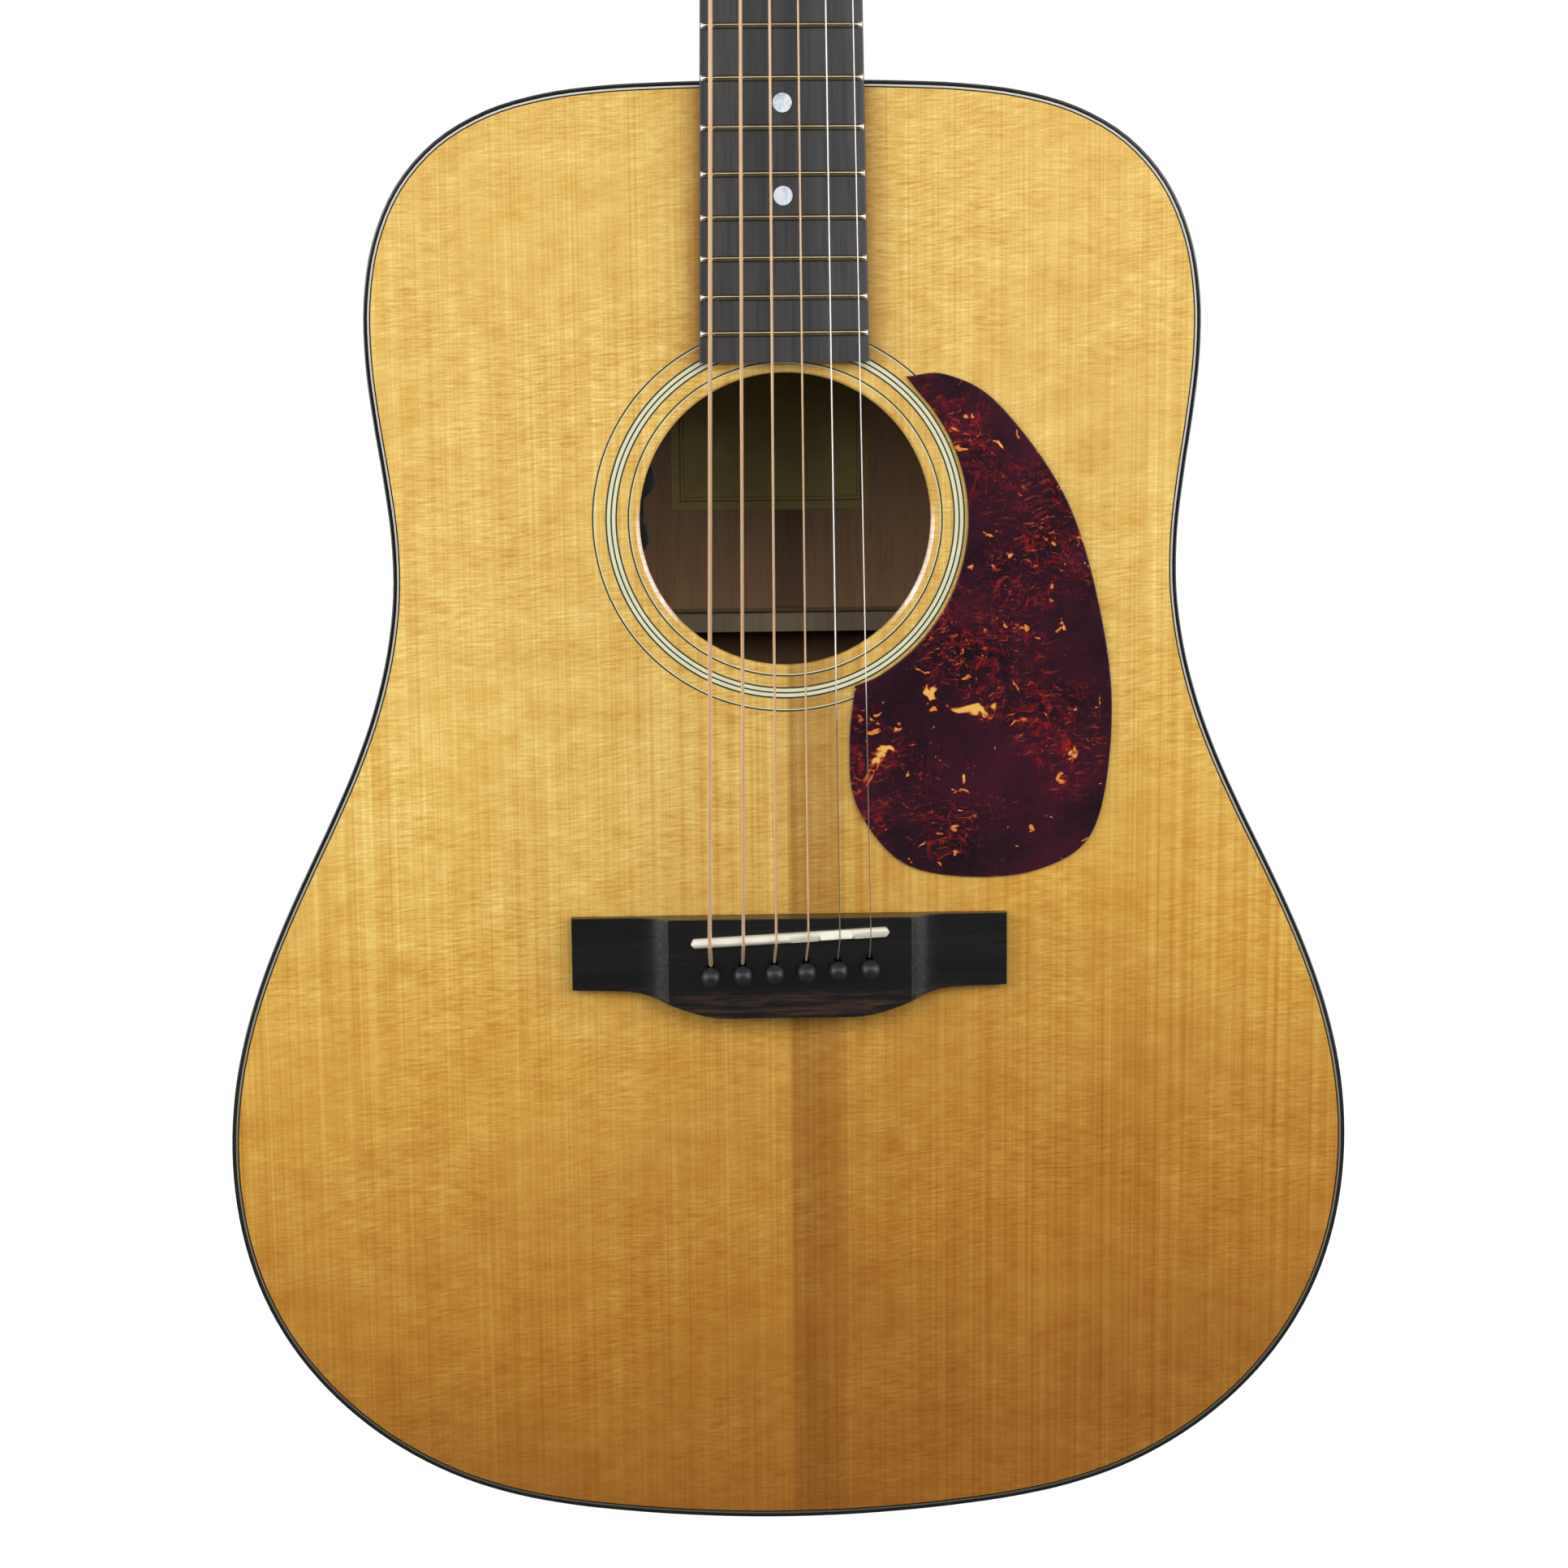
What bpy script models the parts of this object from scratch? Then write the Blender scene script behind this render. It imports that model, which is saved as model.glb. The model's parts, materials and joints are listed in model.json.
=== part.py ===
"""A steel-string dreadnought acoustic guitar, built from its separate pieces.

Frame, in metres: +X is the treble side, +Z runs up the neck and the soundboard faces -Y.
The origin is the centre of the end pin's flat outer face, the lowest point of the guitar.
Pieces that touch in the real guitar keep the small clearance CLEAR between them.
"""

import math

import bmesh
import bpy
import numpy as np
from mathutils import Matrix, Vector

# ---- Driving dimensions ----------------------------------------------------------------
CLEAR = 0.0003
SCALE_LENGTH = 0.6452
FRET_COUNT = 20
BODY_JOINT_FRET = 14
END_PIN_STANDOUT = 0.012
BODY_LENGTH = 0.508
TOP_Y = -0.062

# Half outline of the body, down from the neck: half width, distance below the body's top.
HALF_OUTLINE = (
    (0.0450, 0.0007), (0.0851, 0.0050), (0.1120, 0.0158), (0.1310, 0.0350),
    (0.1425, 0.0760), (0.1350, 0.1660), (0.1461, 0.2204), (0.1728, 0.2780),
    (0.1938, 0.3350), (0.1978, 0.3680), (0.1864, 0.4270), (0.1590, 0.4650),
    (0.1145, 0.4930), (0.0600, 0.5046),
)
OUTLINE_STEPS = 76
ROUND_STEPS = 48

# Depth of the body at its rim, and how far the back arches beyond the rim.
RIM_DEPTH_TAIL = 0.118
RIM_DEPTH_NECK = 0.095
BACK_ARCH = 0.006
ARCH_HALF_WIDTH = 0.200

SIDE_THICKNESS = 0.0020
SOUNDBOARD_THICKNESS = 0.0029
BACK_THICKNESS = 0.0025
BINDING_HEIGHT = 0.0060
LINING_WIDTH = 0.0057
LINING_HEIGHT = 0.0130

NECK_BLOCK_HALF = 0.031
NECK_BLOCK_LENGTH = 0.056
TAIL_BLOCK_HALF = 0.045
TAIL_BLOCK_LENGTH = 0.022

# Bracing under the soundboard: the X, then bars as start and end (x, z), width and height.
X_BELOW_SOUNDHOLE = 0.0825
X_ANGLE = math.radians(49)
X_UPPER = 0.166
X_LOWER = 0.232
X_WIDTH = 0.0080
X_HEIGHT = 0.0150
TRANSVERSE_ABOVE_HOLE = 0.0768
TRANSVERSE_HALF = 0.126
TRANSVERSE_WIDTH = 0.008
TRANSVERSE_HEIGHT = 0.018
TONE_BARS = (
    ("tone_bar_upper", (0.088, 0.172), (-0.112, 0.130), 0.007, 0.012),
    ("tone_bar_lower", (0.078, 0.122), (-0.080, 0.074), 0.006, 0.010),
)
TONE_BAR_NOSE = 0.035
BRIDGE_PLATE_LOOP = ((-0.060, 0.2325), (0.060, 0.2325), (0.0840, 0.1975), (-0.0840, 0.1975))
BRIDGE_PLATE_THICKNESS = 0.0025

# Back braces: height up the body, half length, width, height.
BACK_BRACES = (
    (0.451, 0.124, 0.0060, 0.015), (0.3285, 0.126, 0.0076, 0.015),
    (0.216, 0.172, 0.0160, 0.009), (0.1060, 0.168, 0.0160, 0.009),
)
BACK_BRACE_ENDS = 0.04

SOUNDHOLE_BELOW_TOP = 0.1475
SOUNDHOLE_RADIUS = 0.0508
ROSETTE_INNER = 0.0578
ROSETTE_OUTER = 0.0618
ROSETTE_DEPTH = 0.0014

# Pickguard: free edge, as x and distance below the body's top, then the arc that closes it.
PICKGUARD_EDGE = (
    (0.0416, 0.0991), (0.0555, 0.0986), (0.0738, 0.1093), (0.0973, 0.1426),
    (0.1100, 0.1869), (0.1127, 0.2233), (0.1062, 0.2577), (0.0869, 0.2707),
    (0.0600, 0.2726), (0.0383, 0.2664), (0.0237, 0.2465), (0.0215, 0.2250),
    (0.0235, 0.2051),
)
PICKGUARD_ARC_RADIUS = 0.0628
PICKGUARD_THICKNESS = 0.0008

NUT_WIDTH = 0.0444
BOARD_END_WIDTH = 0.0578
BOARD_END_BELOW_TOP = 0.0938
BOARD_THICKNESS = 0.0060
FRET_RADIUS = 0.0011
NUT_LENGTH = 0.0057
NUT_ABOVE_BOARD = 0.0026
NUT_SLOT_ABOVE_BOARD = 0.0014

# Heel: distance above the body joint, depth of the neck's wood behind the fretboard.
HEEL = (
    (0.000, 0.1320), (0.008, 0.1120), (0.015, 0.0900), (0.022, 0.0680), (0.030, 0.0500),
    (0.039, 0.0370), (0.050, 0.0275), (0.064, 0.0215), (0.082, 0.0180),
)
SHAFT_START = 0.12
SHAFT_DEPTH_LOW = 0.0172
SHAFT_DEPTH_HIGH = 0.0152
NECK_EDGE_DEPTH = 0.0012
HEEL_CAP_HALF = 0.0105
HEEL_CAP_THICKNESS = 0.0025
ROD_HALF = 0.0030
ROD_DEPTH = 0.0056

BRIDGE_HEIGHT = 0.0092
BRIDGE_WING_HEIGHT = 0.0040
BRIDGE_HALF_LENGTH = 0.0762
BRIDGE_ABOVE_SADDLE = 0.0066
BRIDGE_WING_BELOW_SADDLE = 0.0195
BRIDGE_BELLY_DEPTH = 0.0093
BRIDGE_CENTRE_HALF = 0.0425
BRIDGE_SCOOP_RADIUS = 0.0120
BELLY_FLARE_START = 0.060
BELLY_FLARE_END = 0.022
SADDLE_COMPENSATION = 0.0044
SADDLE_SLOPE = 0.050
SADDLE_LENGTH = 0.0690
SADDLE_THICKNESS = 0.0032
SADDLE_TOP_ABOVE_BOARD = 0.0124
SADDLE_SLOT_DEPTH = 0.0045
PIN_BELOW_SADDLE = 0.0120
PIN_SLOPE = 0.035
PIN_SPREAD = 0.0553
PIN_SHAFT_RADIUS = 0.0025
PIN_BALL_RADIUS = 0.0034
PIN_BALL_CENTRE = 0.0046
PIN_LENGTH = 0.0200
PIN_TIP_RADIUS = 0.0012
PIN_HOLE_SLOT_HALF = 0.0011
STRING_FROM_PIN = 0.0037

# String diameters, high E to low E. The four thicker ones are wound.
GAUGES = (0.00033, 0.00043, 0.00066, 0.00091, 0.00117, 0.00142)
SPREAD_AT_NUT = 0.0378
SPREAD_AT_SADDLE = 0.0559

HEAD_TILT = math.radians(15)
HEAD_THICKNESS = 0.0140
VENEER_THICKNESS = 0.0015
POST_X = 0.0245
POST_STEPS = (0.038, 0.083, 0.128)
POST_RADIUS = 0.0030
POST_HOLE_RADIUS = 0.0038
GEAR_RADIUS = 0.0064
WORM_OFFSET = 0.0094
TUNER_PLATE_THICKNESS = 0.0012
PLATE_INNER = 0.0075
PLATE_OUTER = 0.0060
PLATE_ENDS = (0.020, 0.144)
LUG_HALF_WIDTH = 0.0028
LUG_HALF_THICKNESS = 0.0009
SHAFT_RADIUS = 0.0015

# Preamp wheels: x, and height from the soundhole's centre.
WHEEL_RADIUS = 0.0083
WHEEL_THICKNESS = 0.0030
WHEELS = (("volume_wheel", -0.0527, 0.0149), ("tone_wheel", -0.0551, -0.0052))
HOUSING_X = (-0.0670, -0.0490)
HOUSING_BELOW_CENTRE = 0.0165
HOUSING_ABOVE_CENTRE = 0.0300

# ---- Derived places --------------------------------------------------------------------
BODY_BOTTOM = END_PIN_STANDOUT
BODY_TOP = BODY_BOTTOM + BODY_LENGTH
NUT_Z = BODY_TOP + SCALE_LENGTH * (1 - 2 ** (-BODY_JOINT_FRET / 12))
SADDLE_Z = NUT_Z - SCALE_LENGTH - SADDLE_COMPENSATION
PIN_Z = SADDLE_Z - PIN_BELOW_SADDLE
SOUNDHOLE_Z = BODY_TOP - SOUNDHOLE_BELOW_TOP
BOARD_BOTTOM_Y = TOP_Y - CLEAR
BOARD_TOP_Y = BOARD_BOTTOM_Y - BOARD_THICKNESS
BOARD_END_Z = BODY_TOP - BOARD_END_BELOW_TOP
BOARD_NUT_Z = NUT_Z - CLEAR
INSIDE_TOP_Y = TOP_Y + SOUNDBOARD_THICKNESS
BRACE_BASE_Y = INSIDE_TOP_Y + CLEAR
BRIDGE_BASE_Y = TOP_Y - CLEAR
BRIDGE_TOP_Y = TOP_Y - BRIDGE_HEIGHT
SADDLE_TOP_Y = TOP_Y - SADDLE_TOP_ABOVE_BOARD
PLATE_INSET = SIDE_THICKNESS + 0.0005
LINING_INSET = SIDE_THICKNESS + CLEAR
BACK_GAP = BACK_THICKNESS + CLEAR
NECK_FRONT_Y = TOP_Y
NECK_FOOT_Z = BODY_TOP + CLEAR
HEAD_Z = NUT_Z + NUT_LENGTH + CLEAR
X_CROSSING_Z = SOUNDHOLE_Z - X_BELOW_SOUNDHOLE
HEEL_END_Y = TOP_Y + RIM_DEPTH_NECK + BACK_ARCH - 0.0032
ROD_FRONT_Y = TOP_Y + BINDING_HEIGHT + 0.0007
ROD_REAR_Y = ROD_FRONT_Y + ROD_DEPTH
ROD_LOW_Z = BODY_TOP - NECK_BLOCK_LENGTH + 0.0005
ROD_HIGH_Z = NUT_Z - 0.010
WHEEL_FRONT_Y = INSIDE_TOP_Y + 0.0028
HEAD_FRAME = Matrix.Translation((0, NECK_FRONT_Y, HEAD_Z)) @ Matrix(
    (
        (1, 0, 0, 0),
        (0, math.sin(HEAD_TILT), -math.cos(HEAD_TILT), 0),
        (0, math.cos(HEAD_TILT), math.sin(HEAD_TILT), 0),
        (0, 0, 0, 1),
    )
)

parts = bpy.data.collections.new("acoustic_guitar")
cutters = bpy.data.collections.new("cutters")
materials = {}

FINISHES = {
    "spruce": ((0.60, 0.32, 0.09), 0.30, 0.0),
    "brace_spruce": ((0.62, 0.45, 0.26), 0.60, 0.0),
    "rosewood": ((0.10, 0.045, 0.03), 0.35, 0.0),
    "mahogany": ((0.22, 0.09, 0.05), 0.40, 0.0),
    "ebony": ((0.015, 0.013, 0.013), 0.40, 0.0),
    "binding": ((0.008, 0.008, 0.010), 0.20, 0.0),
    "rosette": ((0.55, 0.56, 0.42), 0.35, 0.0),
    "tortoise": ((0.06, 0.005, 0.008), 0.20, 0.0),
    "bone": ((0.72, 0.72, 0.62), 0.35, 0.0),
    "pin_plastic": ((0.010, 0.010, 0.012), 0.25, 0.0),
    "bronze": ((0.75, 0.42, 0.24), 0.30, 1.0),
    "steel": ((0.70, 0.70, 0.68), 0.25, 1.0),
    "chrome": ((0.78, 0.78, 0.78), 0.12, 1.0),
    "housing": ((0.015, 0.015, 0.015), 0.50, 0.0),
}


# ---- Helpers ---------------------------------------------------------------------------
def clear_scene():
    for obj in list(bpy.data.objects):
        bpy.data.objects.remove(obj, do_unlink=True)


def finish_material(name):
    """The material of this name from FINISHES, made the first time it is asked for."""
    if name not in materials:
        color, roughness, metallic = FINISHES[name]
        made = bpy.data.materials.new(name)
        made.use_nodes = True
        shader = made.node_tree.nodes["Principled BSDF"]
        shader.inputs["Base Color"].default_value = (*color, 1)
        shader.inputs["Roughness"].default_value = roughness
        shader.inputs["Metallic"].default_value = metallic
        materials[name] = made
    return materials[name]


def add(name, mesh, finish=None):
    """A part of this mesh, or with no finish a cutter."""
    obj = bpy.data.objects.new(name, mesh)
    if finish is None:
        cutters.objects.link(obj)
        obj.hide_render = True
        obj.display_type = "WIRE"
    else:
        parts.objects.link(obj)
        mesh.materials.clear()
        mesh.materials.append(finish_material(finish))
        mesh.shade_smooth()
        mesh.set_sharp_from_angle(angle=math.radians(35))
    return obj


def mesh_of_curve(curve, matrix=None):
    """The welded mesh of a curve's solid, moved by the matrix; the curve is removed."""
    holder = bpy.data.objects.new("curve", curve)
    bpy.context.scene.collection.objects.link(holder)
    graph = bpy.context.evaluated_depsgraph_get()
    mesh = bpy.data.meshes.new_from_object(holder.evaluated_get(graph))
    bpy.data.objects.remove(holder, do_unlink=True)
    if matrix is not None:
        mesh.transform(matrix)
    work = bmesh.new()
    work.from_mesh(mesh)
    bmesh.ops.remove_doubles(work, verts=work.verts, dist=1e-6)
    bmesh.ops.recalc_face_normals(work, faces=work.faces)
    work.to_mesh(mesh)
    work.free()
    return mesh


def flat_mesh(loops, low, high, matrix=None):
    """Closed loops of 2D points filled, with holes, and extruded along Z from low to high."""
    curve = bpy.data.curves.new("outline", "CURVE")
    curve.dimensions = "2D"
    curve.fill_mode = "BOTH"
    curve.extrude = (high - low) / 2
    for loop in loops:
        spline = curve.splines.new("POLY")
        spline.points.add(len(loop) - 1)
        for point, (u, v) in zip(spline.points, loop):
            point.co = (u, v, 0, 1)
        spline.use_cyclic_u = True
    lift = Matrix.Translation((0, 0, (low + high) / 2))
    return mesh_of_curve(curve, (matrix or Matrix()) @ lift)


def front_mesh(loops, y_front, y_rear):
    """Loops of (x, z) points extruded along Y from y_front to y_rear."""
    facing = Matrix.Rotation(math.radians(90), 4, "X")
    return flat_mesh(loops, -y_rear, -y_front, facing)


def box_mesh(low, high):
    """An axis-aligned box between two corners."""
    size = [b - a for a, b in zip(low, high)]
    middle = [(a + b) / 2 for a, b in zip(low, high)]
    work = bmesh.new()
    matrix = Matrix.Translation(middle) @ Matrix.Diagonal((*size, 1))
    bmesh.ops.create_cube(work, size=1, matrix=matrix)
    mesh = bpy.data.meshes.new("box")
    work.to_mesh(mesh)
    work.free()
    return mesh


def rod_mesh(start, end, radius, sides=12, end_radius=None):
    """A cylinder, or a cone, between two points."""
    start, end = Vector(start), Vector(end)
    turn = (end - start).to_track_quat("Z", "Y").to_matrix().to_4x4()
    work = bmesh.new()
    bmesh.ops.create_cone(
        work,
        cap_ends=True,
        segments=sides,
        radius1=radius,
        radius2=radius if end_radius is None else end_radius,
        depth=(end - start).length,
        matrix=Matrix.Translation((start + end) / 2) @ turn,
    )
    mesh = bpy.data.meshes.new("rod")
    work.to_mesh(mesh)
    work.free()
    return mesh


def turned(name, profile, finish, steps, matrix=None):
    """A (radius, height) profile turned about Z, top to bottom, then placed by the matrix."""
    mesh = bpy.data.meshes.new(name)
    points = [(radius, 0, height) for radius, height in profile]
    edges = [(i, i + 1) for i in range(len(points) - 1)]
    mesh.from_pydata(points, edges, [])
    obj = add(name, mesh, finish)
    screw = obj.modifiers.new("turn", "SCREW")
    screw.steps = steps
    screw.render_steps = steps
    screw.use_merge_vertices = True
    screw.merge_threshold = 1e-5
    obj.matrix_world = matrix or Matrix()
    return obj


def boolean(obj, other, operation="DIFFERENCE"):
    step = obj.modifiers.new(operation.lower(), "BOOLEAN")
    step.operation = operation
    step.object = other
    return obj


def bevel(obj, width, segments=2, angle=40):
    step = obj.modifiers.new("edge", "BEVEL")
    step.width = width
    step.segments = segments
    step.limit_method = "ANGLE"
    step.angle_limit = math.radians(angle)
    return obj


def wire(name, points, radius, finish, resolution=2):
    """A round wire through the points, with closed ends."""
    curve = bpy.data.curves.new(name, "CURVE")
    curve.dimensions = "3D"
    curve.bevel_depth = radius
    curve.bevel_resolution = resolution
    curve.use_fill_caps = True
    spline = curve.splines.new("POLY")
    spline.points.add(len(points) - 1)
    for point, place in zip(spline.points, points):
        point.co = (*place, 1)
    return add(name, mesh_of_curve(curve), finish)


def arc(centre, radius, start, end, steps):
    """Points on a circular arc, angles in degrees."""
    turns = np.radians(np.linspace(start, end, steps + 1))
    return [(centre[0] + radius * math.cos(t), centre[1] + radius * math.sin(t)) for t in turns]


def circle(centre, radius, steps):
    return arc(centre, radius, 0, 360, steps)[:-1]


def closed_spline(points, steps):
    """Evenly spaced points on the closed cubic spline through the given ones."""
    knots = np.array(points, float)
    count = len(knots)
    span = np.linalg.norm(np.roll(knots, -1, 0) - knots, axis=1)
    before = np.roll(span, 1)
    system = np.zeros((count, count))
    rises = (np.roll(knots, -1, 0) - knots) / span[:, None]
    for i in range(count):
        system[i, i] = 2 * (before[i] + span[i])
        system[i, i - 1] += before[i]
        system[i, (i + 1) % count] += span[i]
    bends = np.linalg.solve(system, 6 * (rises - np.roll(rises, 1, 0)))
    dense = []
    for i in range(count):
        j = (i + 1) % count
        for f in np.arange(0, 1, 1 / 64):
            a, b, h = 1 - f, f, span[i]
            bulge = ((a**3 - a) * bends[i] + (b**3 - b) * bends[j]) * h * h / 6
            dense.append(a * knots[i] + b * knots[j] + bulge)
    return even_steps(np.array(dense), steps)


def even_steps(dense, steps):
    """Points at equal distances along a closed, densely sampled loop."""
    loop = np.vstack([dense, dense[:1]])
    along = np.concatenate([[0], np.cumsum(np.linalg.norm(np.diff(loop, axis=0), axis=1))])
    at = np.linspace(0, along[-1], steps, endpoint=False)
    return np.stack([np.interp(at, along, loop[:, k]) for k in (0, 1)], axis=1)


def inset(loop, distance):
    """A clockwise loop moved inwards by a distance."""
    tangent = np.roll(loop, -1, 0) - np.roll(loop, 1, 0)
    tangent /= np.linalg.norm(tangent, axis=1)[:, None]
    inward = np.stack([tangent[:, 1], -tangent[:, 0]], axis=1)
    return loop + inward * distance


def body_outline():
    """The body's outline as (x, z), clockwise from the top of the centre line."""
    right = [(0.0, 0.0), *HALF_OUTLINE, (0.0, BODY_LENGTH)]
    left = [(-x, t) for x, t in reversed(HALF_OUTLINE)]
    return closed_spline([(x, BODY_TOP - t) for x, t in right + left], OUTLINE_STEPS)


def back_surface(x, z):
    """Y of the back's outer face: deeper towards the tail, and arched across."""
    height = (z - BODY_BOTTOM) / BODY_LENGTH
    rim = RIM_DEPTH_TAIL + (RIM_DEPTH_NECK - RIM_DEPTH_TAIL) * height
    return TOP_Y + rim + BACK_ARCH * (1 - (x / ARCH_HALF_WIDTH) ** 2)


def follow_back(mesh, above=-1.0):
    """Moves the vertices behind the plane Y = above by the back's surface."""
    for vertex in mesh.vertices:
        if vertex.co.y > above:
            vertex.co.y += back_surface(vertex.co.x, vertex.co.z)
    return mesh


def fret_z(number):
    return NUT_Z - SCALE_LENGTH * (1 - 2 ** (-number / 12))


def board_width(z):
    share = (NUT_Z - z) / (NUT_Z - BOARD_END_Z)
    return NUT_WIDTH + (BOARD_END_WIDTH - NUT_WIDTH) * share


def string_offsets(spread):
    """X of the strings, high E first, with equal gaps between their surfaces."""
    gap = (spread - sum(GAUGES[1:5]) - (GAUGES[0] + GAUGES[5]) / 2) / 5
    places = [spread / 2]
    for thin, thick in zip(GAUGES, GAUGES[1:]):
        places.append(places[-1] - gap - (thin + thick) / 2)
    return places


def pin_x(number):
    """X of bridge pin 1 (high E) to 6 (low E)."""
    return PIN_SPREAD * (0.5 - (number - 1) / 5)


def pin_z(x):
    return PIN_Z + PIN_SLOPE * x


def saddle_z(x):
    return SADDLE_Z + SADDLE_SLOPE * x


def head_point(u, v, w):
    """A point given in the headstock's own frame: across, up it, out of its front."""
    return HEAD_FRAME @ Vector((u, v, w))


# ---- Body ------------------------------------------------------------------------------
def make_rings(outline):
    """Bindings and kerfed linings, front and back."""
    binding = [outline, inset(outline, SIDE_THICKNESS)]
    add("top_binding", front_mesh(binding, TOP_Y, TOP_Y + BINDING_HEIGHT), "binding")
    rear = follow_back(front_mesh(binding, -BINDING_HEIGHT, 0.0))
    add("back_binding", rear, "binding")

    lining = [inset(outline, LINING_INSET), inset(outline, LINING_INSET + LINING_WIDTH)]
    front = front_mesh(lining, BRACE_BASE_Y, BRACE_BASE_Y + LINING_HEIGHT)
    top_lining = add("top_lining", front, "mahogany")
    rear = follow_back(front_mesh(lining, -BACK_GAP - LINING_HEIGHT, -BACK_GAP))
    add("back_lining", rear, "mahogany")
    return top_lining


def lining_cutters(outline):
    """The linings with clearance, which the blocks are rabbeted around."""
    ring = [inset(outline, 0.0005), inset(outline, LINING_INSET + LINING_WIDTH + CLEAR)]
    deep = LINING_HEIGHT + 2 * CLEAR
    front = front_mesh(ring, BRACE_BASE_Y - 0.002, BRACE_BASE_Y + deep)
    rear = follow_back(front_mesh(ring, -BACK_GAP - deep, 0.002))
    return add("top_lining_room", front), add("back_lining_room", rear)


def make_sides(outline, cuts):
    """Two bent sides that meet at the tail and at the neck, between the bindings."""
    inner = inset(outline, SIDE_THICKNESS)
    half = OUTLINE_STEPS // 2
    seam = CLEAR / 2
    for name, sign, order in (
        ("side_treble", 1, range(half + 1)),
        ("side_bass", -1, range(-half, 1)),
    ):
        outer_edge = [tuple(outline[i]) for i in order]
        inner_edge = [tuple(inner[i]) for i in reversed(order)]
        loop = [(sign * max(sign * x, seam), z) for x, z in outer_edge + inner_edge]
        mesh = front_mesh([loop], TOP_Y + BINDING_HEIGHT + CLEAR, -BINDING_HEIGHT - 2 * CLEAR)
        mesh = follow_back(mesh, above=-0.03)
        side = add(name, mesh, "rosewood")
        for cut in cuts:
            boolean(side, cut)


def block_loop(outline, half_width, edge_z, at_top):
    """A block's front view: the body's inside edge, closed by a straight one."""
    inner = inset(outline, LINING_INSET)
    end = sorted((x, z) for x, z in inner if abs(x) < 0.07 and (z > SOUNDHOLE_Z) == at_top)
    across, up = zip(*end)
    near = [(x, z) for x, z in end if abs(x) < half_width]
    corner_z = [float(np.interp(x, across, up)) for x in (-half_width, half_width)]
    rim = [(-half_width, corner_z[0]), *near, (half_width, corner_z[1])]
    return rim + [(half_width, edge_z), (-half_width, edge_z)]


def make_blocks(outline, rooms, slot, pin_hole):
    """Neck block and tail block, from the soundboard to the back."""
    for name, half_width, edge_z, at_top, cut in (
        ("neck_block", NECK_BLOCK_HALF, BODY_TOP - NECK_BLOCK_LENGTH, True, slot),
        ("tail_block", TAIL_BLOCK_HALF, BODY_BOTTOM + TAIL_BLOCK_LENGTH, False, pin_hole),
    ):
        loop = block_loop(outline, half_width, edge_z, at_top)
        mesh = follow_back(front_mesh([loop], BRACE_BASE_Y, -BACK_GAP), above=-0.03)
        block = add(name, mesh, "mahogany")
        for room in (*rooms, cut):
            boolean(block, room)


def make_soundboard(outline, pin_holes):
    """Spruce top with its soundhole, the rosette's channel and the string holes."""
    hole = circle((0, SOUNDHOLE_Z), SOUNDHOLE_RADIUS, ROUND_STEPS)
    loops = [inset(outline, PLATE_INSET), hole]
    board = add("soundboard", front_mesh(loops, TOP_Y, INSIDE_TOP_Y), "spruce")
    side_gap = 0.0002
    channel = [
        circle((0, SOUNDHOLE_Z), ROSETTE_OUTER + side_gap, ROUND_STEPS),
        circle((0, SOUNDHOLE_Z), ROSETTE_INNER - side_gap, ROUND_STEPS),
    ]
    floor = TOP_Y + ROSETTE_DEPTH + CLEAR
    boolean(board, add("rosette_channel", front_mesh(channel, TOP_Y - 0.002, floor)))
    boolean(board, pin_holes)
    ring = [circle((0, SOUNDHOLE_Z), r, ROUND_STEPS) for r in (ROSETTE_OUTER, ROSETTE_INNER)]
    add("rosette_ring", front_mesh(ring, TOP_Y, TOP_Y + ROSETTE_DEPTH), "rosette")


def make_back(outline):
    """Arched back plate: rings of the outline shrinking to a point, made solid."""
    edge = inset(outline, PLATE_INSET)
    centre_z = BODY_BOTTOM + 0.42 * BODY_LENGTH
    work = bmesh.new()
    rings = []
    for share in (1.0, 0.75, 0.5, 0.25):
        ring = []
        for x, z in edge:
            at_x, at_z = share * x, centre_z + share * (z - centre_z)
            ring.append(work.verts.new((at_x, back_surface(at_x, at_z), at_z)))
        rings.append(ring)
    middle = work.verts.new((0, back_surface(0, centre_z), centre_z))
    for outer, inner in zip(rings, rings[1:]):
        for i in range(OUTLINE_STEPS):
            work.faces.new((outer[i - 1], inner[i - 1], inner[i], outer[i]))
    for i in range(OUTLINE_STEPS):
        work.faces.new((rings[-1][i - 1], middle, rings[-1][i]))
    bmesh.ops.recalc_face_normals(work, faces=work.faces)
    if work.faces[0].normal.y < 0:
        bmesh.ops.reverse_faces(work, faces=work.faces)
    mesh = bpy.data.meshes.new("back_plate")
    work.to_mesh(mesh)
    work.free()
    plate = add("back_plate", mesh, "rosewood")
    thick = plate.modifiers.new("thickness", "SOLIDIFY")
    thick.thickness = BACK_THICKNESS
    thick.offset = -1


def brace_mesh(start, end, width, height, nose=0.025, tip=0.003):
    """A bar glued under the soundboard from start to end (x, z), with scooped ends."""
    start, end = Vector((start[0], 0, start[1])), Vector((end[0], 0, end[1]))
    length = (end - start).length
    side_view = [
        (0, 0), (length, 0), (length, tip), (length - nose / 2, tip + 0.25 * (height - tip)),
        (length - nose, height), (nose, height), (nose / 2, tip + 0.25 * (height - tip)), (0, tip),
    ]
    along = (end - start).normalized()
    deep = Vector((0, 1, 0))
    across = along.cross(deep)
    matrix = Matrix((along, deep, across)).transposed().to_4x4()
    matrix.translation = start + Vector((0, BRACE_BASE_Y, 0))
    return flat_mesh([side_view], -width / 2, width / 2, matrix)


def x_leg(sign, distance):
    """A point on an X brace's centre line; positive distances run up the body."""
    across = sign * math.sin(X_ANGLE) * distance
    return across, X_CROSSING_Z + math.cos(X_ANGLE) * distance


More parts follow.
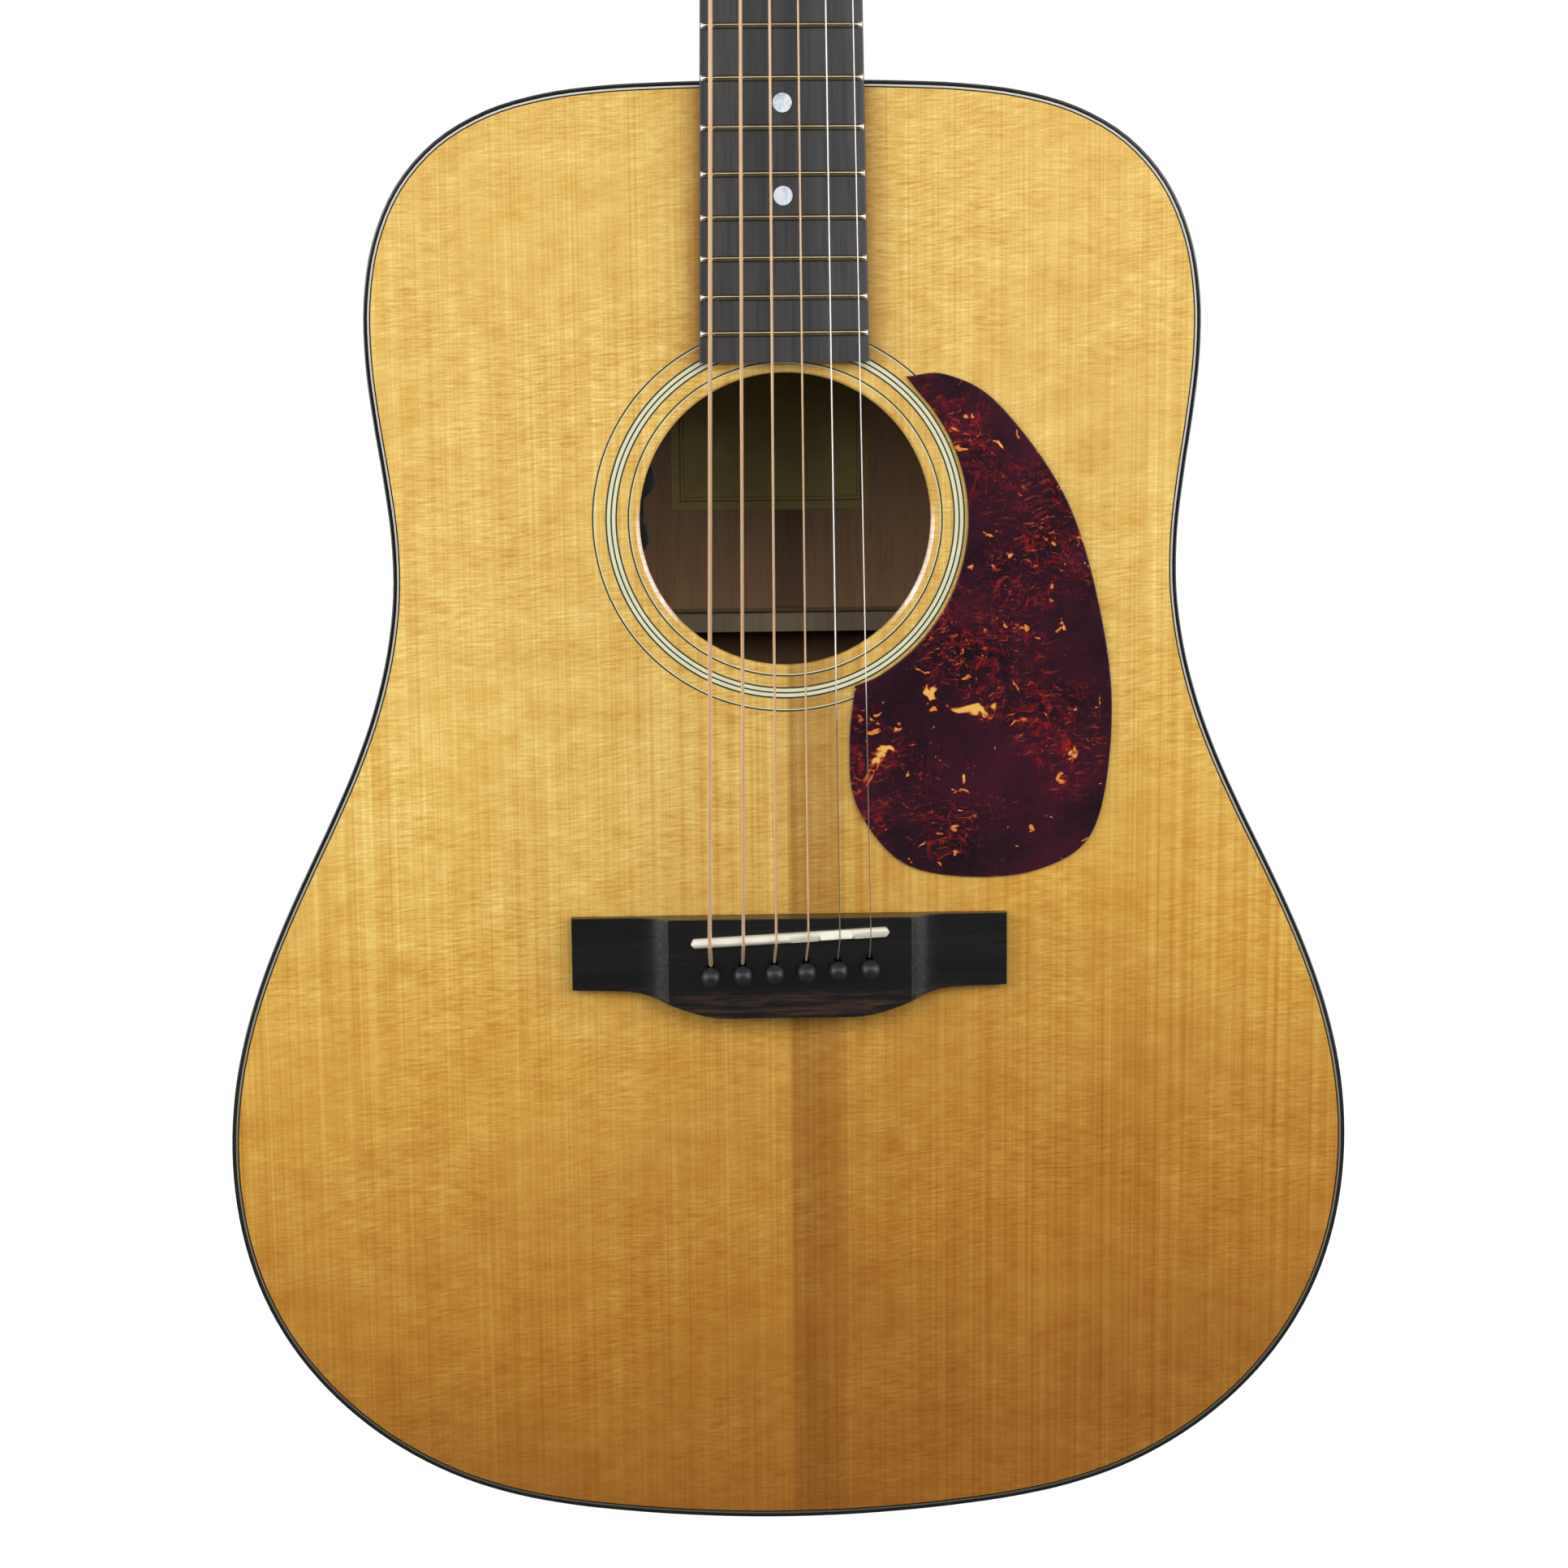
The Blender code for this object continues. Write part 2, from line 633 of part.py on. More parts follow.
def make_top_bracing():
    """The X brace, half-lapped, and the bars around it."""
    for name, sign, low, high in (
        ("x_brace_bass", -1, 0.0, X_HEIGHT / 2 + CLEAR / 2),
        ("x_brace_treble", 1, X_HEIGHT / 2 - CLEAR / 2, X_HEIGHT + 0.002),
    ):
        ends = x_leg(sign, -X_LOWER), x_leg(sign, X_UPPER)
        brace = add(name, brace_mesh(*ends, X_WIDTH, X_HEIGHT), "brace_spruce")
        other = Vector((-sign * math.sin(X_ANGLE), 0, math.cos(X_ANGLE)))
        deep = Vector((0, 1, 0))
        room = flat_mesh(
            [[(-0.03, -0.001 + low), (0.03, -0.001 + low), (0.03, high), (-0.03, high)]],
            -X_WIDTH / 2 - CLEAR,
            X_WIDTH / 2 + CLEAR,
            Matrix.Translation((0, BRACE_BASE_Y, X_CROSSING_Z))
            @ Matrix((other, deep, other.cross(deep))).transposed().to_4x4(),
        )
        boolean(brace, add(name + "_lap", room))

    brace_z = SOUNDHOLE_Z + TRANSVERSE_ABOVE_HOLE
    ends = (-TRANSVERSE_HALF, brace_z), (TRANSVERSE_HALF, brace_z)
    upper = brace_mesh(*ends, TRANSVERSE_WIDTH, TRANSVERSE_HEIGHT)
    add("transverse_brace", upper, "brace_spruce")
    for name, start, end, width, height in TONE_BARS:
        add(name, brace_mesh(start, end, width, height, nose=TONE_BAR_NOSE), "brace_spruce")


def make_bridge_plate(pin_holes):
    mesh = front_mesh([BRIDGE_PLATE_LOOP], BRACE_BASE_Y, BRACE_BASE_Y + BRIDGE_PLATE_THICKNESS)
    plate = add("bridge_plate", mesh, "rosewood")
    boolean(plate, pin_holes)


def make_back_braces():
    """Four bars across the back, with lower ends."""
    for number, (z, half, width, height) in enumerate(BACK_BRACES, 1):
        steps = np.linspace(-half, half, 15)
        foot = [(x, -BACK_GAP - 0.0001) for x in steps]
        crest = []
        for x in reversed(steps):
            rise = min(1.0, 0.25 + (half - abs(x)) / BACK_BRACE_ENDS)
            crest.append((x, -BACK_GAP - 0.0001 - height * rise))
        along_x = Matrix(((1, 0, 0, 0), (0, 1, 0, 0), (0, 0, 1, z), (0, 0, 0, 1)))
        mesh = flat_mesh([foot + crest], -width / 2, width / 2, along_x)
        add(f"back_brace_{number}", follow_back(mesh), "mahogany")


def make_pickguard():
    centre = (0.0, SOUNDHOLE_Z)
    free = [(x, BODY_TOP - t) for x, t in PICKGUARD_EDGE]
    angles = [math.degrees(math.atan2(z - centre[1], x)) for x, z in (free[-1], free[0])]
    inner = arc(centre, PICKGUARD_ARC_RADIUS, angles[0], angles[1], 18)[1:-1]
    loop = open_spline(free, 60) + inner
    mesh = front_mesh([loop], TOP_Y - CLEAR - PICKGUARD_THICKNESS, TOP_Y - CLEAR)
    add("pickguard", mesh, "tortoise")


def open_spline(points, steps):
    """A smooth Catmull-Rom curve through the points, ends included."""
    knots = [Vector(p) for p in points]
    ghost = [2 * knots[0] - knots[1], *knots, 2 * knots[-1] - knots[-2]]
    per_span = max(1, steps // (len(knots) - 1))
    found = []
    for a, b, c, d in zip(ghost, ghost[1:], ghost[2:], ghost[3:]):
        for k in range(per_span):
            f = k / per_span
            found.append(
                0.5 * (2 * b + (c - a) * f + (2 * a - 5 * b + 4 * c - d) * f * f
                       + (3 * b - a - 3 * c + d) * f**3)
            )
    return [tuple(p) for p in found] + [tuple(knots[-1])]


# ---- Bridge, pins and strings ----------------------------------------------------------
def pin_hole_cutter():
    """Six holes with a slot on the neck side, where the strings pass."""
    whole = None
    for number in range(1, 7):
        x = pin_x(number)
        z = pin_z(x)
        y_out, y_in = BRIDGE_TOP_Y - 0.002, BRACE_BASE_Y + 0.006
        hole = rod_mesh((x, y_out, z), (x, y_in, z), PIN_SHAFT_RADIUS + CLEAR, 12)
        half = PIN_HOLE_SLOT_HALF
        slot = box_mesh((x - half, y_out, z), (x + half, y_in, z + STRING_FROM_PIN + half))
        joined = boolean(add(f"pin_hole_{number}", hole), add(f"pin_slot_{number}", slot), "UNION")
        if whole is None:
            whole = joined
        else:
            boolean(whole, joined, "UNION")
    return whole


def bridge_half_loop():
    """The bridge's right half as (x, z), from the middle of its top edge round to its belly."""
    top = SADDLE_Z + BRIDGE_ABOVE_SADDLE
    wing = SADDLE_Z - BRIDGE_WING_BELOW_SADDLE
    corner, end_rise = 0.0012, 0.0004
    edge = [(BRIDGE_HALF_LENGTH - corner, top), (BRIDGE_HALF_LENGTH, top - corner),
            (BRIDGE_HALF_LENGTH, wing + end_rise + corner),
            (BRIDGE_HALF_LENGTH - corner, wing + end_rise)]
    steps = 12
    for k in range(steps + 1):
        share = k / steps
        x = BELLY_FLARE_START + (BELLY_FLARE_END - BELLY_FLARE_START) * share
        edge.append((x, wing - BRIDGE_BELLY_DEPTH * (1 - math.cos(math.pi * share)) / 2))
    return edge


def saddle_loop(length, thickness):
    """A slanted bar with round ends, as (x, z)."""
    half, radius = (length - thickness) / 2, thickness / 2
    bar = arc((half, 0), radius, -90, 90, 6) + arc((-half, 0), radius, 90, 270, 6)
    turn = math.atan(SADDLE_SLOPE)
    return [
        (x * math.cos(turn) - z * math.sin(turn), SADDLE_Z + x * math.sin(turn) + z * math.cos(turn))
        for x, z in bar
    ]


def make_bridge(pin_holes):
    right = bridge_half_loop()
    loop = right + [(-x, z) for x, z in reversed(right)]
    bridge = add("bridge", front_mesh([loop], BRIDGE_TOP_Y, BRIDGE_BASE_Y), "ebony")
    wing_y = TOP_Y - BRIDGE_WING_HEIGHT
    drop = BRIDGE_HEIGHT - BRIDGE_WING_HEIGHT
    reach = math.sqrt(BRIDGE_SCOOP_RADIUS**2 - (BRIDGE_SCOOP_RADIUS - drop) ** 2)
    sweep = math.degrees(math.asin(reach / BRIDGE_SCOOP_RADIUS))
    centre = (BRIDGE_CENTRE_HALF + reach, wing_y - BRIDGE_SCOOP_RADIUS)
    for name, sign in (("scoop_bass", -1), ("scoop_treble", 1)):
        scoop = arc(centre, BRIDGE_SCOOP_RADIUS, 98 + sweep, 90, 8)
        away = BRIDGE_TOP_Y - 0.004
        profile = [*scoop, (0.09, wing_y), (0.09, away), (scoop[0][0], away)]
        mesh = flat_mesh([[(sign * x, y) for x, y in profile]], SADDLE_Z - 0.05, SADDLE_Z + 0.03)
        boolean(bridge, add(name, mesh))
    slot_floor = BRIDGE_TOP_Y + SADDLE_SLOT_DEPTH
    slot = front_mesh(
        [saddle_loop(SADDLE_LENGTH + 2 * CLEAR, SADDLE_THICKNESS + 2 * CLEAR)],
        BRIDGE_TOP_Y - 0.002,
        slot_floor,
    )
    boolean(bridge, add("saddle_slot", slot))
    boolean(bridge, pin_holes)
    saddle = front_mesh([saddle_loop(SADDLE_LENGTH, SADDLE_THICKNESS)], SADDLE_TOP_Y, slot_floor - CLEAR)
    bevel(add("saddle", saddle, "bone"), 0.0006, 2, 60)


def make_pins():
    """Bridge pins, turned: a ball head over a collar and a tapered shaft."""
    for number in range(1, 7):
        x = pin_x(number)
        head = [
            (PIN_BALL_RADIUS * math.cos(t), PIN_BALL_CENTRE + PIN_BALL_RADIUS * math.sin(t))
            for t in np.radians(np.linspace(90, -42, 6))
        ]
        head[0] = (0.0, PIN_BALL_CENTRE + PIN_BALL_RADIUS)
        shaft = [(PIN_SHAFT_RADIUS, 0.0), (0.0021, 0.001 - PIN_LENGTH), (PIN_TIP_RADIUS, -PIN_LENGTH)]
        place = Matrix.Translation((x, BRIDGE_TOP_Y, pin_z(x)))
        facing = Matrix.Rotation(math.radians(90), 4, "X")
        profile = head + shaft + [(0.0, -PIN_LENGTH)]
        turned(f"bridge_pin_{number}", profile, "pin_plastic", 12, place @ facing)


def post_place(number):
    """Across and up the headstock, for the post of string 1 (high E) to 6 (low E)."""
    side = 1 if number <= 3 else -1
    step = POST_STEPS[(number - 1) if number <= 3 else (6 - number)]
    return side * POST_X, step


def string_route(number):
    """From the ball end under the bridge plate to the turns on the tuner's post."""
    radius = GAUGES[number - 1] / 2
    ride = radius + 0.0002
    x_pin = pin_x(number)
    x_saddle = string_offsets(SPREAD_AT_SADDLE)[number - 1]
    x_nut = string_offsets(SPREAD_AT_NUT)[number - 1]
    z_hole = pin_z(x_pin) + STRING_FROM_PIN
    z_saddle = saddle_z(x_saddle)
    lead = 0.0011
    y_nut = BOARD_TOP_Y - NUT_SLOT_ABOVE_BOARD - ride
    route = [
        (x_pin, BRACE_BASE_Y + 0.0045, z_hole),
        (x_pin, BRIDGE_TOP_Y - ride, z_hole),
        (x_saddle, SADDLE_TOP_Y - ride, z_saddle - lead),
        (x_saddle, SADDLE_TOP_Y - ride, z_saddle + lead),
        (x_nut, y_nut, NUT_Z + 0.0004),
        (x_nut, y_nut, NUT_Z + NUT_LENGTH),
    ]
    u, v = post_place(number)
    side = math.copysign(1, u)
    coil = POST_RADIUS + ride + 0.0001
    height, pitch = 0.0105, 2 * radius + 0.0003
    steps = 8
    for k in range(int(1.4 * steps) + 1):
        turn = 2 * math.pi * k / steps
        across = u - side * coil * math.cos(turn)
        up = v + coil * math.sin(turn)
        route.append(tuple(head_point(across, up, height - pitch * k / steps)))
    return route


def make_strings():
    for number in range(1, 7):
        finish = "bronze" if number >= 3 else "steel"
        wire(f"string_{number}", string_route(number), GAUGES[number - 1] / 2, finish, 1)


# ---- Neck ------------------------------------------------------------------------------
def neck_section(z, depth, across=14):
    """A D-shaped section: flat under the fretboard, round behind, cut off at the heel cap."""
    half = board_width(z) / 2
    ring = []
    for k in range(across + 1):
        turn = math.pi * k / across
        round_depth = (depth - NECK_EDGE_DEPTH) * math.sin(turn) ** 0.85
        y = NECK_FRONT_Y + NECK_EDGE_DEPTH + round_depth
        ring.append((half * math.cos(turn), min(y, HEEL_END_Y), z))
    return [(half, NECK_FRONT_Y, z), *ring, (-half, NECK_FRONT_Y, z)]


def loft_mesh(sections):
    """A closed solid through rings of equally many points."""
    work = bmesh.new()
    rings = [[work.verts.new(point) for point in section] for section in sections]
    for low, high in zip(rings, rings[1:]):
        for i in range(len(low)):
            work.faces.new((low[i - 1], low[i], high[i], high[i - 1]))
    work.faces.new(rings[0])
    work.faces.new(rings[-1])
    bmesh.ops.recalc_face_normals(work, faces=work.faces)
    bmesh.ops.triangulate(work, faces=[f for f in work.faces if len(f.verts) > 4])
    mesh = bpy.data.meshes.new("loft")
    work.to_mesh(mesh)
    work.free()
    return mesh


def head_loop():
    """The headstock's outline in its own frame."""
    right = [(0.0222, -0.004), (0.0226, 0.002), (0.0262, 0.010), (0.0315, 0.0165), (0.0340, 0.021),
             (0.0376, 0.160), (0.0368, 0.167), (0.0340, 0.1710), (0.0180, 0.1745), (0.0, 0.1765)]
    return right + [(-x, v) for x, v in reversed(right[:-1])]


def make_neck(rod_slot):
    sections = []
    for above, depth in HEEL:
        sections.append(neck_section(NECK_FOOT_Z + above, depth))
    shaft = np.linspace(NECK_FOOT_Z + SHAFT_START, HEAD_Z - 0.012, 5)
    for k, z in enumerate(shaft):
        share = k / (len(shaft) - 1)
        depth = SHAFT_DEPTH_LOW + (SHAFT_DEPTH_HIGH - SHAFT_DEPTH_LOW) * share
        sections.append(neck_section(z, depth))
    sections.append(neck_section(HEAD_Z, SHAFT_DEPTH_HIGH + 0.002))
    neck = add("neck", loft_mesh(sections), "mahogany")
    blank = flat_mesh([head_loop()], -HEAD_THICKNESS, 0.0, HEAD_FRAME)
    boolean(neck, add("head_blank", blank), "UNION")
    level = box_mesh((-0.04, NECK_FRONT_Y - 0.02, HEAD_Z - 0.02), (0.04, NECK_FRONT_Y, HEAD_Z - 0.0001))
    boolean(neck, add("nut_shelf", level))
    boolean(neck, rod_slot)
    for number in range(1, 7):
        u, v = post_place(number)
        hole = rod_mesh(head_point(u, v, -0.02), head_point(u, v, 0.005), POST_HOLE_RADIUS, 12)
        boolean(neck, add(f"post_hole_{number}", hole))

    veneer_loop = [(x, max(v, 0.0006)) for x, v in head_loop()]
    veneer = flat_mesh([veneer_loop], CLEAR, CLEAR + VENEER_THICKNESS, HEAD_FRAME)
    veneer = add("headstock_veneer", veneer, "rosewood")
    for number in range(1, 7):
        boolean(veneer, bpy.data.objects[f"post_hole_{number}"])

    cap_y = HEEL_END_Y + CLEAR
    arch = [(-HEEL_CAP_HALF, NECK_FOOT_Z), (HEEL_CAP_HALF, NECK_FOOT_Z)] + arc(
        (0, NECK_FOOT_Z + 0.001), HEEL_CAP_HALF, 0, 180, 10
    )
    add("heel_cap", front_mesh([arch], cap_y, cap_y + HEEL_CAP_THICKNESS), "ebony")


def make_fretboard():
    end = BOARD_END_WIDTH / 2
    nut_half = NUT_WIDTH / 2
    loop = [(-end, BOARD_END_Z), (end, BOARD_END_Z), (nut_half, BOARD_NUT_Z), (-nut_half, BOARD_NUT_Z)]
    board = add("fretboard", front_mesh([loop], BOARD_TOP_Y, BOARD_BOTTOM_Y), "ebony")
    frets = bpy.data.collections.new("frets")
    cutters.children.link(frets)
    for number in range(1, FRET_COUNT + 1):
        z = fret_z(number)
        half = board_width(z) / 2 - 0.0002
        fret = add(f"fret_{number}", rod_mesh((-half, BOARD_TOP_Y, z), (half, BOARD_TOP_Y, z),
                                              FRET_RADIUS, 8))
        cutters.objects.unlink(fret)
        frets.objects.link(fret)
    step = board.modifiers.new("frets", "BOOLEAN")
    step.operation = "UNION"
    step.operand_type = "COLLECTION"
    step.collection = frets


def make_nut():
    half = NUT_WIDTH / 2
    low_z, high_z = NUT_Z, NUT_Z + NUT_LENGTH
    top_y = BOARD_TOP_Y - NUT_ABOVE_BOARD
    side_view = [(NECK_FRONT_Y - CLEAR, low_z), (top_y, low_z), (top_y, low_z + 0.002),
                 (top_y + 0.0016, high_z), (NECK_FRONT_Y - CLEAR, high_z)]
    upright = Matrix(((0, 0, 1, 0), (1, 0, 0, 0), (0, 1, 0, 0), (0, 0, 0, 1)))
    nut = add("nut", flat_mesh([side_view], -half, half, upright), "bone")
    for number, x in enumerate(string_offsets(SPREAD_AT_NUT), 1):
        room = GAUGES[number - 1] / 2 + 0.0002
        low = (x - room, top_y - 0.003, low_z - 0.002)
        high = (x + room, BOARD_TOP_Y - NUT_SLOT_ABOVE_BOARD, high_z + 0.002)
        boolean(nut, add(f"nut_slot_{number}", box_mesh(low, high)))


def rod_cutters():
    """Room for the truss rod: a groove in the neck, and a slot through the body's rim."""
    half = ROD_HALF + CLEAR
    rear = ROD_REAR_Y + CLEAR
    groove = box_mesh((-half, TOP_Y - 0.002, BODY_TOP - 0.01), (half, rear, ROD_HIGH_Z + CLEAR))
    front = TOP_Y + BINDING_HEIGHT - 0.0001
    slot = box_mesh((-half, front, ROD_LOW_Z - 0.01), (half, rear, BODY_TOP + 0.01))
    return add("rod_groove", groove), add("rod_slot", slot)


def make_truss_rod():
    low = (-ROD_HALF, ROD_FRONT_Y, ROD_LOW_Z)
    high = (ROD_HALF, ROD_REAR_Y, ROD_HIGH_Z)
    add("truss_rod", box_mesh(low, high), "steel")


# ---- Tuners ----------------------------------------------------------------------------
def plate_floor():
    """Distance of the tuner plate's near face from the headstock's front."""
    return -HEAD_THICKNESS - CLEAR


def shaft_place(number):
    """Centre line of a tuner's worm shaft, in the headstock's frame: up it and out of it."""
    _, v = post_place(number)
    depth = plate_floor() - TUNER_PLATE_THICKNESS - CLEAR - 0.0036
    return v - WORM_OFFSET, depth


def make_tuner_plates():
    """A plate for each row of three tuners, with the lugs that carry the worm shafts."""
    back = plate_floor()
    far = back - TUNER_PLATE_THICKNESS
    for name, numbers, side in (("tuner_plate_treble", (1, 2, 3), 1), ("tuner_plate_bass", (6, 5, 4), -1)):
        low_u, high_u = sorted((side * (POST_X - PLATE_INNER), side * (POST_X + PLATE_OUTER)))
        low_v, high_v = PLATE_ENDS
        loop = [(low_u, low_v), (high_u, low_v), (high_u, high_v), (low_u, high_v)]
        plate = add(name, flat_mesh([loop], far, back, HEAD_FRAME), "chrome")
        for number in numbers:
            v, w = shaft_place(number)
            for label, at in (("near", POST_X - 0.0062), ("far", POST_X + 0.0048)):
                edges = side * (at - LUG_HALF_THICKNESS), side * (at + LUG_HALF_THICKNESS)
                low_lug, high_lug = sorted(edges)
                tab = [(low_lug, v - LUG_HALF_WIDTH), (high_lug, v - LUG_HALF_WIDTH),
                       (high_lug, v + LUG_HALF_WIDTH), (low_lug, v + LUG_HALF_WIDTH)]
                lug = flat_mesh([tab], w - 0.0026, far + 0.0004, HEAD_FRAME)
                boolean(plate, add(f"lug_{label}_{number}", lug), "UNION")
            start = head_point(side * (POST_X - 0.012), v, w)
            end = head_point(side * (POST_X + 0.012), v, w)
            bore = rod_mesh(start, end, SHAFT_RADIUS + 0.0003, 8)
            boolean(plate, add(f"shaft_bore_{number}", bore))
            u, v = post_place(number)
            post_room = rod_mesh(head_point(u, v, far - 0.001), head_point(u, v, back + 0.001),
                                 POST_RADIUS + 0.0002, 12)
            boolean(plate, add(f"plate_hole_{number}", post_room))


def make_tuners():
    """For each string, a post with its gear, and a knob on its worm shaft."""
    gear_near = plate_floor() - TUNER_PLATE_THICKNESS - CLEAR - 0.0019
    for number in range(1, 7):
        u, v = post_place(number)
        side = math.copysign(1, u)
        profile = [
            (0.0, 0.0170), (POST_RADIUS, 0.0165), (POST_RADIUS, 0.0135), (0.0026, 0.0120),
            (0.0026, 0.0060), (POST_RADIUS, 0.0045), (POST_RADIUS, gear_near),
            (GEAR_RADIUS, gear_near), (GEAR_RADIUS, gear_near - 0.0034), (0.0, gear_near - 0.0034),
        ]
        place = HEAD_FRAME @ Matrix.Translation((u, v, 0))
        turned(f"tuner_post_{number}", profile, "chrome", 12, place)

        v, w = shaft_place(number)
        outward = Matrix.Rotation(side * math.radians(90), 4, "Y")
        place = Matrix.Translation(head_point(u, v, w)) @ outward
        worm = 0.0023
        shaft = [
            (0.0, 0.0360), (0.0038, 0.0360), (0.0056, 0.0330), (0.0044, 0.0220), (0.0026, 0.0180),
            (SHAFT_RADIUS, 0.0168), (SHAFT_RADIUS, 0.0036), (worm, 0.0034), (worm, -0.0046),
            (SHAFT_RADIUS, -0.0048), (SHAFT_RADIUS, -0.0080), (0.0, -0.0080),
        ]
        turned(f"tuner_knob_{number}", shaft, "chrome", 12, place)
        flatten_knob(bpy.data.objects[f"tuner_knob_{number}"])


def flatten_knob(knob):
    """Gives the button two flat sides: wider along one cross axis, thinner along the other."""
    wide = box_mesh((-0.008, -0.0036, 0.0188), (0.008, 0.0036, 0.037))
    cheeks = box_mesh((-0.012, -0.012, 0.0200), (0.012, 0.012, 0.040))
    cutter = boolean(add(knob.name + "_cheeks", cheeks), add(knob.name + "_core", wide))
    for piece in (cutter, bpy.data.objects[knob.name + "_core"]):
        piece.matrix_world = knob.matrix_world
    boolean(knob, cutter)


# ---- Preamp and end pin ----------------------------------------------------------------
def make_preamp():
    """Soundhole preamp: a housing under the bass edge and two thumbwheels."""
    low_z, high_z = SOUNDHOLE_Z - HOUSING_BELOW_CENTRE, SOUNDHOLE_Z + HOUSING_ABOVE_CENTRE
    outer_x, inner_x = HOUSING_X
    wheel_back = WHEEL_FRONT_Y + WHEEL_THICKNESS
    main = box_mesh((outer_x, wheel_back + CLEAR, low_z), (inner_x, wheel_back + 0.0115, high_z))
    foot = box_mesh((outer_x, BRACE_BASE_Y, low_z), (outer_x + 0.0029, wheel_back + 0.0010, high_z))
    housing = boolean(add("preamp_housing", main, "housing"), add("housing_foot", foot), "UNION")
    for name, x, above in WHEELS:
        z = SOUNDHOLE_Z + above
        bore = rod_mesh((x, wheel_back - 0.001, z), (x, wheel_back + 0.0061, z), 0.0018, 12)
        boolean(housing, add(name + "_bore", bore))
        rim = WHEEL_RADIUS
        profile = [
            (0.0, 0.0), (rim - 0.0006, 0.0), (rim, -0.0005), (rim, -0.0025),
            (rim - 0.0006, -WHEEL_THICKNESS), (0.0015, -WHEEL_THICKNESS), (0.0015, -0.0088),
            (0.0, -0.0088),
        ]
        facing = Matrix.Rotation(math.radians(90), 4, "X")
        place = Matrix.Translation((x, WHEEL_FRONT_Y, z)) @ facing
        turned(name, profile, "housing", 18, place)


def make_end_pin():
    """Strap pin in the tail block; its flat outer face is the guitar's lowest point."""
    profile = [
        (0.0, 0.0420), (0.0036, 0.0410), (0.0040, BODY_BOTTOM - CLEAR),
        (0.0072, BODY_BOTTOM - CLEAR), (0.0074, 0.0104), (0.0049, 0.0082),
        (0.0074, 0.0042), (0.0076, 0.0022), (0.0062, 0.0), (0.0, 0.0),
    ]
    turned("end_pin", profile, "pin_plastic", 20)


def main():
    clear_scene()
    for collection in (parts, cutters):
        bpy.context.scene.collection.children.link(collection)
    outline = body_outline()
    rod_groove, rod_slot = rod_cutters()
    end_hole = add("end_pin_hole", rod_mesh((0, 0, 0.005), (0, 0, 0.05), 0.0043, 20))
    pin_holes = pin_hole_cutter()
    boolean(make_rings(outline), rod_slot)
    make_sides(outline, (rod_slot, end_hole))
    make_blocks(outline, lining_cutters(outline), rod_slot, end_hole)
    make_soundboard(outline, pin_holes)
    make_back(outline)
    make_top_bracing()
    make_bridge_plate(pin_holes)
    make_back_braces()
    make_pickguard()
    make_bridge(pin_holes)
    make_pins()
    make_strings()
    make_neck(rod_groove)
    make_fretboard()
    make_nut()
    make_truss_rod()
    make_tuner_plates()
    make_tuners()
    make_preamp()
    make_end_pin()


main()
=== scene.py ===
"""The looks of the acoustic guitar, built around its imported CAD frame.

Metres, in the CAD frame: +X is the treble side, +Z runs up the neck, the soundboard faces -Y.
Places come from the CAD nodes. Sizes that no node gives are named at the top.
"""

import json
import math

import bmesh
import bpy
import numpy as np
from mathutils import Matrix, Vector
from mathutils.geometry import tessellate_polygon

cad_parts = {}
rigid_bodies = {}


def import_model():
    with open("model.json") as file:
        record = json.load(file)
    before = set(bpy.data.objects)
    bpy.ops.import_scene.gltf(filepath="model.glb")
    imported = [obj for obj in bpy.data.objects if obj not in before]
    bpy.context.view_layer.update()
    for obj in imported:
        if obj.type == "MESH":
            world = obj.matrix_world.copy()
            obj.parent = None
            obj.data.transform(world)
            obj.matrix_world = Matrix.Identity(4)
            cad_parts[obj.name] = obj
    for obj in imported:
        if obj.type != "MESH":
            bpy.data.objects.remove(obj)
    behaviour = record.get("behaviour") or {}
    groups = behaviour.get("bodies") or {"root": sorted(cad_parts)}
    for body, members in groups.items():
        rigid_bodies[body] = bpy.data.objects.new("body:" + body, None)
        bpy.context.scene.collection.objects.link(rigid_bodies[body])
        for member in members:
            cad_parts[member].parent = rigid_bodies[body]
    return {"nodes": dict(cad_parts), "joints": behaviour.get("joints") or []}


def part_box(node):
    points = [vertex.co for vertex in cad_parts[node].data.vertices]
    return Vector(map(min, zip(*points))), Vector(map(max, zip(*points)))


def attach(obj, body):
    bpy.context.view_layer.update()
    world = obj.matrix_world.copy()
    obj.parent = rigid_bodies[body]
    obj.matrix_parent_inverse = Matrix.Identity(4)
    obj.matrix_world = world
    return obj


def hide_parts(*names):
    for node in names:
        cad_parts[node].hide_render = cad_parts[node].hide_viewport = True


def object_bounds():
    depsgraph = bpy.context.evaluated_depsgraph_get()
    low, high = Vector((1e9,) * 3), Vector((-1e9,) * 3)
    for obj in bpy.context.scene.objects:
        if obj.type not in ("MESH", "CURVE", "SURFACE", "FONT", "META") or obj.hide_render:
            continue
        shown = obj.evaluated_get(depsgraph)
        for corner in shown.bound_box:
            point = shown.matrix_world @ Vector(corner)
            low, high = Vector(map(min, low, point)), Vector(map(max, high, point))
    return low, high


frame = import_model()
cad_low, cad_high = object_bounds()
nodes = frame["nodes"]

# ---- Camera and light ------------------------------------------------------------------
CAMERA_PLACE = (-0.0279, -1.0620, 0.4367)
CAMERA_LENS = 66.77
CAMERA_PITCH = math.radians(8.86)
CAMERA_YAW = math.radians(1.52)
CAMERA_ROLL = math.radians(-0.54)

FRONT_LIGHT = 0.08
BACKDROP_LIGHT = 0.90
# The Y of a direction, from the dim room in front to the bright backdrop behind.
BACKDROP_EDGE = (-0.25, 0.35)
FLOOR_REACH = 14.0
FLOOR_GAP = 0.0002
FLOOR_GLOW = 1.0
